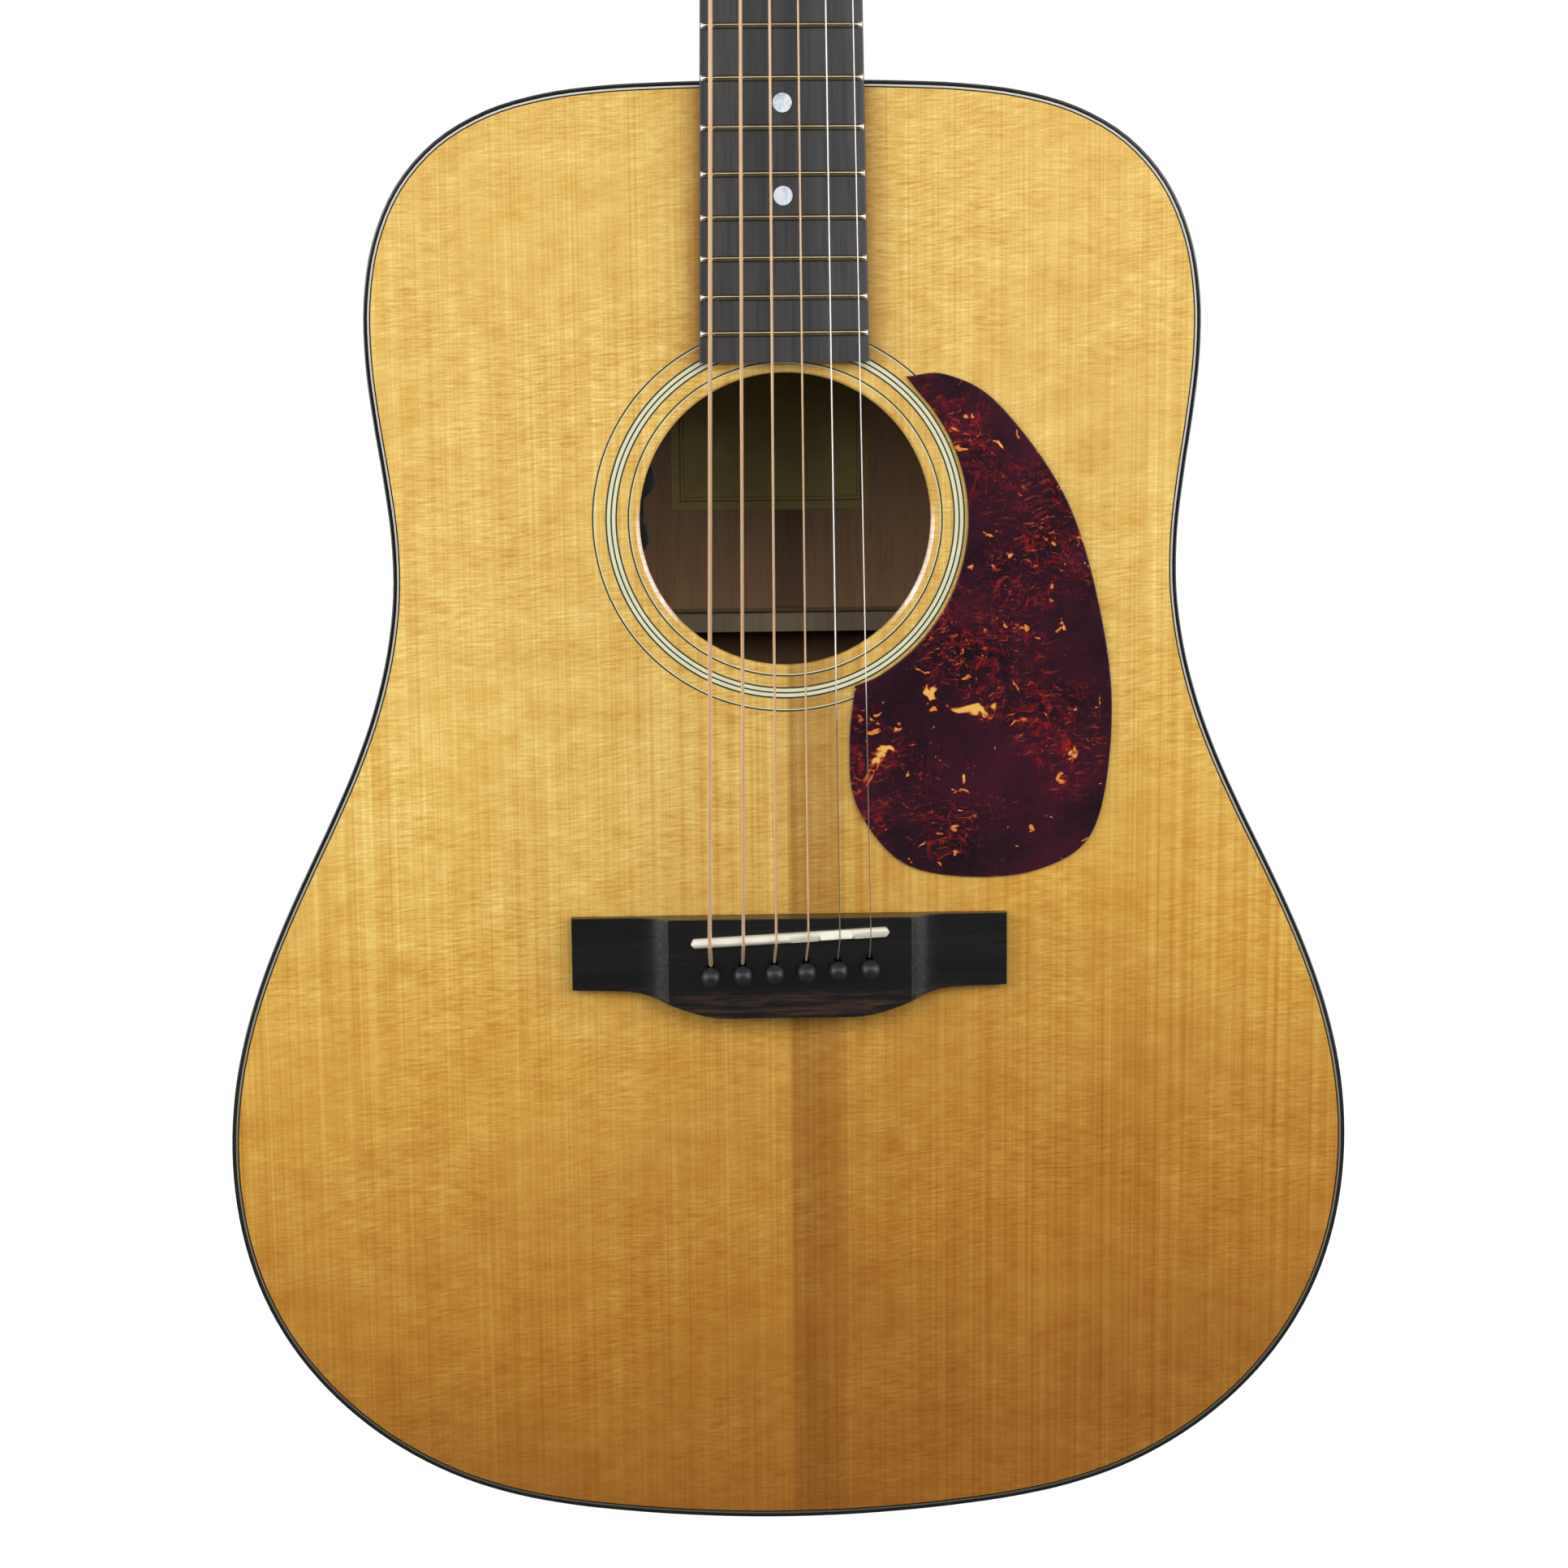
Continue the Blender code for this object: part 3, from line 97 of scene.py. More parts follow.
# Name, place, target, width and height, watts, tint.
LIGHTS = (
    ("key", (0.10, -1.50, 1.50), (0.0, -0.05, 0.33), (1.2, 0.6), 6.0, (1.0, 0.99, 0.97)),
    ("front_left", (-0.90, -1.32, 0.95), (0.0, 0.0, 0.35), (1.1, 0.75), 8.8, (1.0, 0.99, 0.97)),
    ("front_right", (0.90, -1.32, 0.95), (0.0, 0.0, 0.35), (1.1, 0.75), 9.4, (1.0, 0.99, 0.97)),
    ("side_left", (-1.45, -0.55, 0.62), (0.0, 0.0, 0.40), (0.9, 1.16), 16.0, (0.97, 0.985, 1.0)),
    ("side_right", (1.45, -0.60, 0.62), (0.0, 0.0, 0.40), (0.9, 1.16), 16.0, (0.96, 0.98, 1.0)),
)

# ---- Sizes of the body -----------------------------------------------------------------
SOUNDHOLE_RADIUS = 0.0501
SOUNDHOLE_ROUNDING = 0.0013
BINDING_WIDTH = 0.00145
BINDING_ROUNDING = 0.0006
WHITE_LINE_WIDTH = 0.00060
BLACK_LINE_WIDTH = 0.00045
LINE_DEPTH = 0.0015
SIDE_THICKNESS = 0.0020
SOUNDBOARD_THICKNESS = 0.0029
BACK_THICKNESS = 0.0025
RIM_DEPTH_TAIL = 0.118
RIM_DEPTH_NECK = 0.095
BACK_ARCH = 0.006
ARCH_HALF_WIDTH = 0.200
# How far up the body the back's rings of faces close in.
BACK_CENTRE = 0.42
TAIL_WEDGE_HALF_FRONT = 0.0060
TAIL_WEDGE_HALF_REAR = 0.0036
TAIL_WEDGE_DEPTH = 0.001
# How far inlaid lines stand out of the wood.
PROUD = 0.00003
BACK_STRIP_GAP = 0.004
SEAM_STRIP_TOP = 0.3695
SEAM_STRIP_MIDDLE = 0.0038
LABEL_X = (-0.0400, 0.0346)
LABEL_Z = (0.3700, 0.4470)
LABEL_THICKNESS = 0.0003
# Distance in from the label's edge and half width of each border line.
LABEL_BORDERS = ((0.0032, 0.00028), (0.0046, 0.00014))
PICKGUARD_ROUNDING = 0.0004
ROSETTE_DEPTH = 0.0012
# Rosette rings, from the soundhole outwards: inner radius, outer radius, finish.
ROSETTE_RINGS = (
    (0.05326, 0.05358, "cream"), (0.05358, 0.05412, "dark"),
    (0.05780, 0.05835, "dark"), (0.05835, 0.05951, "cream"), (0.05951, 0.06006, "dark"),
    (0.06006, 0.06122, "cream"), (0.06122, 0.06180, "dark"),
    (0.06552, 0.06582, "cream"), (0.06582, 0.06636, "dark"),
)
# The ring that stands for the CAD node of the whole rosette.
ROSETTE_MAIN_RING = 4

# ---- Sizes of the bridge, its pins and the strings' ends ---------------------------------
BRIDGE_WING_HEIGHT = 0.0040
BRIDGE_CENTRE_HALF = 0.0425
BRIDGE_SCOOP_RADIUS = 0.0160
BRIDGE_ROUNDING = 0.0003
BRIDGE_RIDGE_SOFTNESS = 0.0005
BRIDGE_SQUARE_END = 0.0014
BRIDGE_STEP = 0.001
# How far above its lower edge the bridge turns browner.
BRIDGE_BELLY = 0.011
SADDLE_WIDTH = 0.0032
SADDLE_CROWN = 0.0011
SADDLE_ARCH = 0.00035
# The crest's place across the saddle along its length: from, to, offset towards the neck.
CREST_STEPS = (
    (-0.05, 0.0000, -0.0002), (0.0000, 0.0105, 0.0009), (0.0105, 0.0215, -0.0010),
    (0.0215, 0.05, 0.0008),
)
PIN_BALL_RADIUS = 0.0034
PIN_WAIST_RADIUS = 0.0026
PIN_WAIST_DROP = 0.0026
PIN_COLLAR_RADIUS = 0.0027
PIN_SHAFT_RADIUS = 0.0024
PIN_TIP_RADIUS = 0.0021
PIN_POINT_RADIUS = 0.0012
PIN_SLOT_HALF = 0.00125
PIN_SLOT_LENGTH = 0.0046
PIN_SLOT_DEPTH = 0.0035
# Radius and height round the brass ball at a string's end, and its place from the pin.
BALL_END = (
    (0.0, 0.0016), (0.0014, 0.0016), (0.0017, 0.0013), (0.0015, 0.0), (0.0017, -0.0013),
    (0.0014, -0.0016), (0.0, -0.0016),
)
BALL_END_DROP = 0.0012
BALL_END_SHIFT = 0.0037

# ---- Sizes of the neck and tuners --------------------------------------------------------
SCALE_LENGTH = 0.6452
FRET_COUNT = 20
BOARD_RADIUS = 0.4064
BOARD_EDGE_ROUNDING = 0.0006
FRET_WIDTH = 0.0021
FRET_HEIGHT = 0.0011
FRET_END_SLOPE = 0.0011
FRET_END_GAP = 0.0002
FRET_FOOT = 0.0008
# How much of a fret's end gets a painted highlight.
FRET_PAINTED_GLINT_END = 0.0018
DOT_FRETS = (5, 7, 9, 15, 17)
DOT_RADIUS = 0.0032
DOT_PAIR_OFFSET = 0.0115
SIDE_DOT_RADIUS = 0.0010
SIDE_DOT_RISE = 0.0025
# Share of the radius, and height, round a dot.
DOT_PROFILE = ((0.0, 0.00004), (0.97, 0.00004), (1.0, 0.00001), (1.0, -0.0010), (0.0, -0.0010))
POST_HOLE_RADIUS = 0.0033
BUSHING_RADIUS = 0.0052
BUSHING_HEIGHT = 0.0017
BUSHING_COLLAR_RADIUS = 0.0040
SCREW_RADIUS = 0.0021
SCREW_HEIGHT = 0.0010
SCREW_EDGE = 0.0050
# How far below the headstock's face a post turns into its gear.
GEAR_DEPTH = 0.0165

# ---- Places read from the frame ----------------------------------------------------------
TOP_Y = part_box("top_binding")[0].y
BODY_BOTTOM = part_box("top_binding")[0].z
BODY_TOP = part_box("top_binding")[1].z
BINDING_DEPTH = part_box("top_binding")[1].y
BINDING_HEIGHT = BINDING_DEPTH - TOP_Y
BOARD_LOW, BOARD_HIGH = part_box("fretboard")
BOARD_TOP_Y = BOARD_LOW.y + FRET_HEIGHT
NUT_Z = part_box("nut")[0].z
NUT_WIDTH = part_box("nut")[1].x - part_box("nut")[0].x
BRIDGE_LOW, BRIDGE_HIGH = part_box("bridge")
SADDLE_LOW, SADDLE_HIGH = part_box("saddle")
SEAM_STRIP_ENDS = (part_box("back_brace_2")[1].z + 0.0005, SEAM_STRIP_TOP)
POST_JOINTS = [joint for joint in frame["joints"] if joint["name"].startswith("post_")]
NUMBERS = range(1, 7)


def middle_of(node):
    low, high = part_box(node)
    return (low + high) / 2


SOUNDHOLE = np.array((0.0, middle_of("rosette_ring").z))
PIN_MIDDLES = {number: middle_of(f"bridge_pin_{number}") for number in NUMBERS}


# ---- Mesh helpers ------------------------------------------------------------------------
def mesh_from(points, faces, merge=1e-7, degenerate=False):
    """A mesh with doubled points merged and all its faces turned outwards."""
    mesh = bpy.data.meshes.new("mesh")
    mesh.from_pydata([tuple(point) for point in points], [], faces)
    work = bmesh.new()
    work.from_mesh(mesh)
    bmesh.ops.remove_doubles(work, verts=work.verts, dist=merge)
    if degenerate:
        bmesh.ops.dissolve_degenerate(work, edges=work.edges, dist=1e-7)
    bmesh.ops.recalc_face_normals(work, faces=work.faces)
    work.to_mesh(mesh)
    work.free()
    return mesh


class Shell:
    """Gathers the rings of points and the faces of a closed mesh."""

    def __init__(self):
        self.points = []
        self.faces = []

    def ring(self, points):
        """Adds a ring of points and returns the number of its first."""
        self.points.extend(points)
        return len(self.points) - len(points)

    def level(self, loop, y):
        """Adds an (x, z) loop at depth y as a ring."""
        return self.ring([(x, y, z) for x, z in loop])

    def skin(self, bases, count):
        """Quads between each ring and the next."""
        for a, b in zip(bases, bases[1:]):
            for i in range(count):
                j = (i + 1) % count
                self.faces.append((a + i, a + j, b + j, b + i))

    def cap(self, base, count):
        """One face over a ring."""
        self.faces.append(tuple(range(base, base + count)))

    def fill(self, loops, y):
        """Triangles over a loop at depth y, later loops being holes."""
        base = len(self.points)
        lines = [[Vector((x, z, 0)) for x, z in loop] for loop in loops]
        for loop in loops:
            self.level(loop, y)
        self.faces.extend(tuple(base + i for i in t) for t in tessellate_polygon(lines))

    def mesh(self):
        return mesh_from(self.points, self.faces)


def loft(rings, closed=False):
    """A skin through rings of equally many points; the last meets the first, or both are capped."""
    shell = Shell()
    count = len(rings[0])
    bases = [shell.ring(ring) for ring in rings]
    shell.skin(bases + bases[:1] if closed else bases, count)
    if not closed:
        shell.cap(bases[0], count)
        shell.cap(bases[-1], count)
    return shell.mesh()


def turned(profile, steps, place=None):
    """A (radius, height) profile turned about Z, then placed by the matrix."""
    points, faces = [], []
    count = len(profile)
    for k in range(steps):
        turn = 2 * math.pi * k / steps
        a, b = k * count, (k + 1) % steps * count
        points += [(r * math.cos(turn), r * math.sin(turn), h) for r, h in profile]
        faces += [(a + i, a + i + 1, b + i + 1, b + i) for i in range(count - 1)]
    mesh = mesh_from(points, faces, merge=1e-6, degenerate=True)
    if place is not None:
        mesh.transform(place)
    return mesh


def corner(radius, steps):
    """(inwards, down) offsets round a quarter circle, from the side up to the flat."""
    if not radius:
        return [(0.0, 0.0)]
    turns = np.linspace(0, math.pi / 2, steps + 1)
    return [(radius * (1 - math.cos(t)), radius * (1 - math.sin(t))) for t in turns]


def rounded_across(low, high, radius, steps, spans):
    """(place, down) pairs from low to high: round at both ends, and level spans between."""
    ends = corner(radius, steps)
    width = high - low - 2 * radius
    level = [(low + radius + width * k / spans, 0.0) for k in range(1, spans)]
    near = [(low + inward, down) for inward, down in ends]
    far = [(high - inward, down) for inward, down in reversed(ends)]
    return near + level + far


def inset(loop, distance):
    """A clockwise loop moved inwards by a distance."""
    loop = np.asarray(loop, float)
    tangent = np.roll(loop, -1, 0) - np.roll(loop, 1, 0)
    tangent /= np.linalg.norm(tangent, axis=1)[:, None]
    return loop + np.stack([tangent[:, 1], -tangent[:, 0]], axis=1) * distance


def signed_area(loop):
    x, z = loop.T
    return 0.5 * float(np.sum(x * np.roll(z, -1) - np.roll(x, -1) * z))


def face_loop(node, depth):
    """The largest closed (x, z) loop, clockwise, around a node's flat faces at a depth."""
    work = bmesh.new()
    work.from_mesh(nodes[node].data)
    bmesh.ops.remove_doubles(work, verts=work.verts, dist=1e-6)
    flat = {f for f in work.faces if all(abs(v.co.y - depth) < 1e-5 for v in f.verts)}
    edges = [e for e in work.edges if sum(f in flat for f in e.link_faces) == 1]
    neighbours = {}
    for edge in edges:
        for a, b in (edge.verts, reversed(edge.verts)):
            neighbours.setdefault(a.index, []).append(b.index)
    work.verts.ensure_lookup_table()
    loops, seen = [], set()
    for start in neighbours:
        if start in seen:
            continue
        chain, at, before = [start], neighbours[start][0], start
        while at != start:
            chain.append(at)
            at, before = next(n for n in neighbours[at] if n != before), at
        seen.update(chain)
        loops.append(np.array([(work.verts[i].co.x, work.verts[i].co.z) for i in chain]))
    work.free()
    loop = max(loops, key=lambda found: abs(signed_area(found)))
    return loop if signed_area(loop) < 0 else loop[::-1]


def refined(loop, per_span, sharp=30):
    """A smooth closed curve through the loop's points, with corners over this angle kept."""
    ahead = np.roll(loop, -1, 0) - loop
    behind = loop - np.roll(loop, 1, 0)
    turn = np.arctan2(ahead[:, 1], ahead[:, 0]) - np.arctan2(behind[:, 1], behind[:, 0])
    turn = np.abs((np.degrees(turn) + 180) % 360 - 180)
    middle = (ahead + behind) / 2
    found = []
    for i in range(len(loop)):
        j = (i + 1) % len(loop)
        leave = ahead[i] if turn[i] > sharp else middle[i]
        arrive = ahead[i] if turn[j] > sharp else middle[j]
        for f in np.arange(per_span) / per_span:
            found.append(
                (2 * f**3 - 3 * f**2 + 1) * loop[i] + (f**3 - 2 * f**2 + f) * leave
                + (3 * f**2 - 2 * f**3) * loop[j] + (f**3 - f**2) * arrive
            )
    return np.array(found)


def body_outline():
    """The body's smooth outline, clockwise from the middle of its upper end."""
    loop = refined(face_loop("top_binding", TOP_Y), 4)
    loop = np.roll(loop, -int(np.argmax(loop[:, 1] - 10 * np.abs(loop[:, 0]))), 0)
    # The smooth curve bulges a hair outside the CAD outline, so it is drawn in to the same size.
    loop[:, 0] *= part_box("top_binding")[1].x / np.abs(loop[:, 0]).max()
    share = (loop[:, 1] - loop[:, 1].min()) / np.ptp(loop[:, 1])
    loop[:, 1] = BODY_BOTTOM + share * (BODY_TOP - BODY_BOTTOM)
    return loop


OUTLINE = body_outline()


def slab(loop, y_front, y_rear, rounding=0.0):
    """A flat plate between two depths, its front edge rounded."""
    shell = Shell()
    bases = [shell.level(loop, y_rear)]
    front = loop
    for inward, down in corner(rounding, 3):
        front = inset(loop, inward)
        bases.append(shell.level(front, y_front + down))
    shell.skin(bases, len(loop))
    shell.fill([front], y_front)
    shell.fill([loop], y_rear)
    return shell.mesh()


def sweep_rim(profile, depth=None):
    """A closed profile of (inset, y) carried round the body; depth(x, z) is added to y."""
    rings = []
    for distance, y in profile:
        loop = inset(OUTLINE, distance)
        rings.append([(x, y + (depth(x, z) if depth else 0.0), z) for x, z in loop])
    return loft(rings, closed=True)


def back_depth(x, z):
    """Y of the back's outer face: deeper towards the tail, and arched across."""
    height = (z - BODY_BOTTOM) / (BODY_TOP - BODY_BOTTOM)
    rim = RIM_DEPTH_TAIL + (RIM_DEPTH_NECK - RIM_DEPTH_TAIL) * height
    return TOP_Y + rim + BACK_ARCH * (1 - (x / ARCH_HALF_WIDTH) ** 2)


def carved(mesh, cutters):
    """The mesh with these closed meshes cut out of it."""
    work = bmesh.new()
    for cutter in cutters:
        work.from_mesh(cutter)
    tools = bpy.data.meshes.new("tools")
    work.to_mesh(tools)
    work.free()
    holder = bpy.data.objects.new("carving", mesh)
    tool = bpy.data.objects.new("carving_tool", tools)
    for obj in (holder, tool):
        bpy.context.scene.collection.objects.link(obj)
    step = holder.modifiers.new("cut", "BOOLEAN")
    step.operation = "DIFFERENCE"
    step.solver = "EXACT"
    step.object = tool
    graph = bpy.context.evaluated_depsgraph_get()
    result = bpy.data.meshes.new_from_object(holder.evaluated_get(graph))
    for obj in (holder, tool):
        bpy.data.objects.remove(obj)
    return result


# Every material by its name. A Shade keeps the one it builds here.
FINISHES = {}


def piece(name, mesh, finish, slot, body="root", replaces=None, sharp=38):
    """A finished piece riding on a body."""
    obj = bpy.data.objects.new(name, mesh)
    bpy.context.scene.collection.objects.link(obj)
    mesh.materials.clear()
    mesh.materials.append(FINISHES[finish])
    mesh.shade_smooth()
    mesh.set_sharp_from_angle(angle=math.radians(sharp))
    weighted = obj.modifiers.new("normals", "WEIGHTED_NORMAL")
    weighted.keep_sharp = True
    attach(obj, body)
    if replaces:
        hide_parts(replaces)


def dress(node, finish):
    """Gives a CAD node that stays its finish."""
    data = nodes[node].data
    data.materials.clear()
    data.materials.append(FINISHES[finish])


# ---- Material helpers --------------------------------------------------------------------
def srgb(red, green, blue):
    """A linear colour from 0 to 255 display values."""
    def linear(value):
        value /= 255
        return value / 12.92 if value <= 0.04045 else ((value + 0.055) / 1.055) ** 2.4
    return (linear(red), linear(green), linear(blue), 1.0)


def around(color, factor):
    """The colour made lighter or darker by a factor."""
    return tuple(min(1.0, c * factor) for c in color[:3]) + (1.0,)


WHITE = (1.0, 1.0, 1.0, 1.0)


class Tree:
    """Adds nodes to a node tree. Its methods return output sockets."""

    def __init__(self, tree):
        self.tree = tree

    def node(self, kind, inputs, output=0, **settings):
        made = self.tree.nodes.new(kind)
        for key, value in settings.items():
            setattr(made, key, value)
        for key, value in inputs.items():
            self.feed(value, made.inputs[key])
        return made.outputs[output]

    def feed(self, value, target):
        """Links a socket, or sets a constant, on an input."""
        if isinstance(value, bpy.types.NodeSocket):
            self.tree.links.new(value, target)
        else:
            target.default_value = value

    def calc(self, operation, first, second=0.0):
        return self.node("ShaderNodeMath", {0: first, 1: second}, operation=operation)

    def times(self, first, second):
        return self.calc("MULTIPLY", first, second)

    def mapped(self, value, low, high, to_low=0.0, to_high=1.0):
        """From to_low to to_high as the value goes from low to high."""
        return self.node("ShaderNodeMapRange", {
            "Value": value, "From Min": low, "From Max": high, "To Min": to_low, "To Max": to_high,
        })

    def span(self, value, low, high):
        """From low to high as the value goes from 0 to 1."""
        return self.mapped(value, 0.0, 1.0, low, high)


class Shade(Tree):
    """Builds one material and keeps it by its name in FINISHES."""

    def __init__(self, name, roughness, metallic=0.0, coat=0.0, coat_roughness=0.1, specular=0.5):
        FINISHES[name] = bpy.data.materials.new(name)
        FINISHES[name].use_nodes = True
        super().__init__(FINISHES[name].node_tree)
        self.inputs = self.tree.nodes["Principled BSDF"].inputs
        self.inputs["Roughness"].default_value = roughness
        self.inputs["Metallic"].default_value = metallic
        self.inputs["Coat Weight"].default_value = coat
        self.inputs["Coat Roughness"].default_value = coat_roughness
        self.inputs["Specular IOR Level"].default_value = specular
        self.place = self.node("ShaderNodeTexCoord", {}, "Object")

    def axes(self):
        split = self.tree.nodes.new("ShaderNodeSeparateXYZ")
        self.tree.links.new(self.place, split.inputs[0])
        return split.outputs

    def noise(self, scale, detail=2.0, roughness=0.5, distortion=0.0, turn=0.0, shift=(0, 0, 0),
              vector=None):
        """Noise over the object's coordinates, or a vector, turned about Y, shifted and scaled."""
        place = self.node("ShaderNodeMapping", {
            "Vector": self.place if vector is None else vector, "Location": shift,
            "Rotation": (0, turn, 0), "Scale": scale if hasattr(scale, "__len__") else (scale,) * 3,
        })
        return self.node("ShaderNodeTexNoise", {
            "Vector": place, "Scale": 1.0, "Detail": detail, "Roughness": roughness,
            "Distortion": distortion,
        })

    def clouds(self, size=120):
        return self.noise(size, detail=4, roughness=0.6)

    def ramp(self, value, stops):
        """A ramp through (position, colour or grey) stops."""
        made = self.tree.nodes.new("ShaderNodeValToRGB")
        self.tree.links.new(value, made.inputs[0])
        elements = made.color_ramp.elements
        while len(elements) < len(stops):
            elements.new(0.5)
        for element, (position, color) in zip(elements, stops):
            element.position = position
            element.color = color if hasattr(color, "__len__") else (color, color, color, 1.0)
        return made.outputs[0]

    def cloudy(self, clouds, first, second):
        """From one colour to another over soft noise."""
        return self.ramp(clouds, [(0.3, first), (0.7, second)])

    def mix(self, share, first, second, blend="MIX"):
        made = self.tree.nodes.new("ShaderNodeMix")
        made.data_type = "RGBA"
        made.blend_type = blend
        for number, value in ((0, share), (6, first), (7, second)):
            self.feed(value, made.inputs[number])
        return made.outputs[2]

    def finish(self, color, rough=None, bump=None):
        """Connects a colour, a gloss (value, low, high) and a bump (height, strength, distance)."""
        self.feed(color, self.inputs["Base Color"])
        if rough:
            self.feed(self.span(*rough), self.inputs["Roughness"])
        if bump:
            inputs = dict(zip(("Height", "Strength", "Distance"), bump))
            self.feed(self.node("ShaderNodeBump", inputs), self.inputs["Normal"])


# ---- Spruce ------------------------------------------------------------------------------
# The colour from the tail to the upper edge: partly the wood's own deepening, partly painted shade that
# darkens the lower body.
SPRUCE_TONE_AND_SHADE_STOPS = [
    (0.00, srgb(160, 104, 36)), (0.14, srgb(184, 127, 46)), (0.34, srgb(212, 161, 70)),
    (0.54, srgb(227, 187, 99)), (0.75, srgb(224, 183, 98)), (1.00, srgb(219, 179, 94)),
]
# How much deeper the colour is from the seam to the treble edge.
TREBLE_DEEPER = [(0.0, 0.0), (0.05, 0.05), (0.25, 0.085), (0.75, 0.12), (1.0, 0.12)]
# Fibre patterns: scale, detail, spread of the tone.
SPRUCE_FIBRES = (
    ((60, 1, 1.0), 3, 0.05), ((900, 1, 6), 3, 0.38), ((60, 1, 90), 3, 0.34),
    ((2400, 1, 1900), 1, 0.24),
)
# Darker grain is also more orange.
GRAIN_POWERS = {"Red": 0.56, "Green": 1.08, "Blue": 2.0}


def spruce_finish():
    """Amber spruce under satin lacquer: straight grain, wavy silk, deeper towards the tail, partly as
    painted shade.
    """
    shade = Shade("spruce_amber", 0.42, coat=0.12, coat_roughness=0.25, specular=0.25)
    x, _, z = shade.axes()
    amber, deep = spruce_colour(shade, x, z)
    silk, tone = spruce_grain(shade, x, z, deep)
    channels = {name: shade.calc("POWER", tone, power) for name, power in GRAIN_POWERS.items()}
    grain = shade.node("ShaderNodeCombineColor", channels)
    colour = shade.mix(1.0, amber, grain, "MULTIPLY")
    shade.finish(colour, (silk, 0.36, 0.48), (silk, 0.10, 0.0003))


def spruce_colour(shade, x, z):
    """The wood's colour by place, with painted shade towards the tail, a painted shadow beside the
    fretboard and a painted highlight on the soundhole's rim; and how much of the seam's browning it
    shows.
    """
    patches = shade.noise((10, 10, 8), detail=3, roughness=0.6)
    height = shade.mapped(z, BODY_BOTTOM, BODY_TOP)
    height = shade.calc("ADD", height, shade.span(patches, -0.12, 0.12))
    height = shade.calc("SUBTRACT", height, shade.ramp(shade.times(x, 5.0), TREBLE_DEEPER))
    deep = shade.ramp(height, [(0.0, 0.88), (0.44, 0.90), (0.64, 1.0), (0.78, 0.15), (0.88, 0.0)])
    # Partly painted shade: this ramp darkens the wood towards the tail.
    amber = shade.ramp(height, SPRUCE_TONE_AND_SHADE_STOPS)
    for share, color in (
        (shade.times(seam_shade(shade, x), deep), srgb(120, 66, 20)),
        # Painted shadow beside the fretboard.
        (board_painted_shadow(shade, x, z), srgb(158, 92, 38)),
        # Painted highlight on the soundhole's rim.
        (rim_painted_highlight(shade, x, z), srgb(255, 236, 220)),
    ):
        amber = shade.mix(share, amber, color)
    return amber, deep


def spruce_grain(shade, x, z, deep):
    """The silk across the grain, and all the fibres together as a factor of the colour."""
    lifted = shade.calc("SUBTRACT", z, shade.times(x, 0.08))
    lifted = shade.calc("ADD", lifted, shade.span(shade.noise((20, 1, 14)), -0.004, 0.004))
    wavy = shade.node("ShaderNodeCombineXYZ", {"X": x, "Y": 0.0, "Z": lifted})
    silk = shade.noise((130, 1, 1150), detail=3, roughness=0.66, vector=wavy)
    silk_share = shade.ramp(shade.noise((14, 1, 18)), [(0.36, 0.35), (0.62, 1.0)])
    rings = shade.noise((420, 1, 0.8), detail=1)
    ring_share = shade.ramp(shade.noise((13, 1, 2.5), detail=1), [(0.44, 0.35), (0.60, 1.0)])
    ring_share = shade.times(ring_share, shade.span(deep, 0.14, 1.0))
    silk_tone = shade.mix(silk_share, WHITE, shade.span(silk, 0.22, 1.78))
    tone = shade.times(silk_tone, shade.mix(ring_share, WHITE, shade.span(rings, 0.56, 1.44)))
    for scale, detail, spread in SPRUCE_FIBRES:
        fibres = shade.noise(scale, detail=detail, roughness=0.62)
        tone = shade.times(tone, shade.span(fibres, 1 - spread, 1 + spread))
    return silk, tone


def seam_shade(shade, x):
    """How brown the wood is by the centre seam: a step on the right, a soft fade on the left."""
    right = shade.ramp(shade.times(x, 5.0), [
        (0.0, 0.66), (0.075, 0.52), (0.11, 0.24), (0.35, 0.11), (0.75, 0.05), (1.0, 0.02),
    ])
    left = shade.ramp(shade.times(x, -5.0), [(0.0, 0.20), (0.10, 0.17), (0.30, 0.10), (0.60, 0.0)])
    return shade.mix(shade.mapped(x, -0.0006, 0.0012), left, right)


def beyond_board(shade, x, z):
    """How far a point lies outside the fretboard's edge."""
    slope = (NUT_WIDTH / 2 - BOARD_HIGH.x) / (NUT_Z - BOARD_LOW.z)
    half = shade.calc("ADD", shade.times(z, slope), BOARD_HIGH.x - slope * BOARD_LOW.z)
    return shade.calc("SUBTRACT", shade.calc("ABSOLUTE", x), half)


def board_painted_shadow(shade, x, z):
    """How much painted shadow of the fretboard falls on the wood beside it."""
    beyond = shade.times(beyond_board(shade, x, z), 100.0)
    share = shade.ramp(beyond, [(0.0, 0.62), (0.25, 0.40), (0.60, 0.12), (1.0, 0.0)])
    return shade.times(share, shade.calc("GREATER_THAN", z, BOARD_LOW.z - 0.001))


def rim_painted_highlight(shade, x, z):
    """Where a painted highlight lies on the soundhole's rounded edge: its lower left and lower right."""
    across = shade.calc("DIVIDE", x, SOUNDHOLE_RADIUS)
    up = shade.calc("DIVIDE", shade.calc("SUBTRACT", z, SOUNDHOLE[1]), SOUNDHOLE_RADIUS)
    reach = shade.calc("ADD", shade.times(across, across), shade.times(up, up))
    edge = shade.calc("LESS_THAN", shade.calc("SQRT", reach), 1 + SOUNDHOLE_ROUNDING / SOUNDHOLE_RADIUS)
    sides = shade.ramp(shade.calc("ABSOLUTE", across), [(0.70, 0.0), (0.86, 0.85)])
    lower = shade.ramp(shade.calc("ADD", shade.times(up, 0.5), 0.5), [(0.46, 1.0), (0.56, 0.0)])
    return shade.times(edge, shade.times(sides, lower))


# ---- Other materials ---------------------------------------------------------------------
# Painted shade on the back's bare inner face below the brace: it darkens between these heights, towards
# the tail.
BARE_PAINTED_SHADE = (0.300, 0.332)


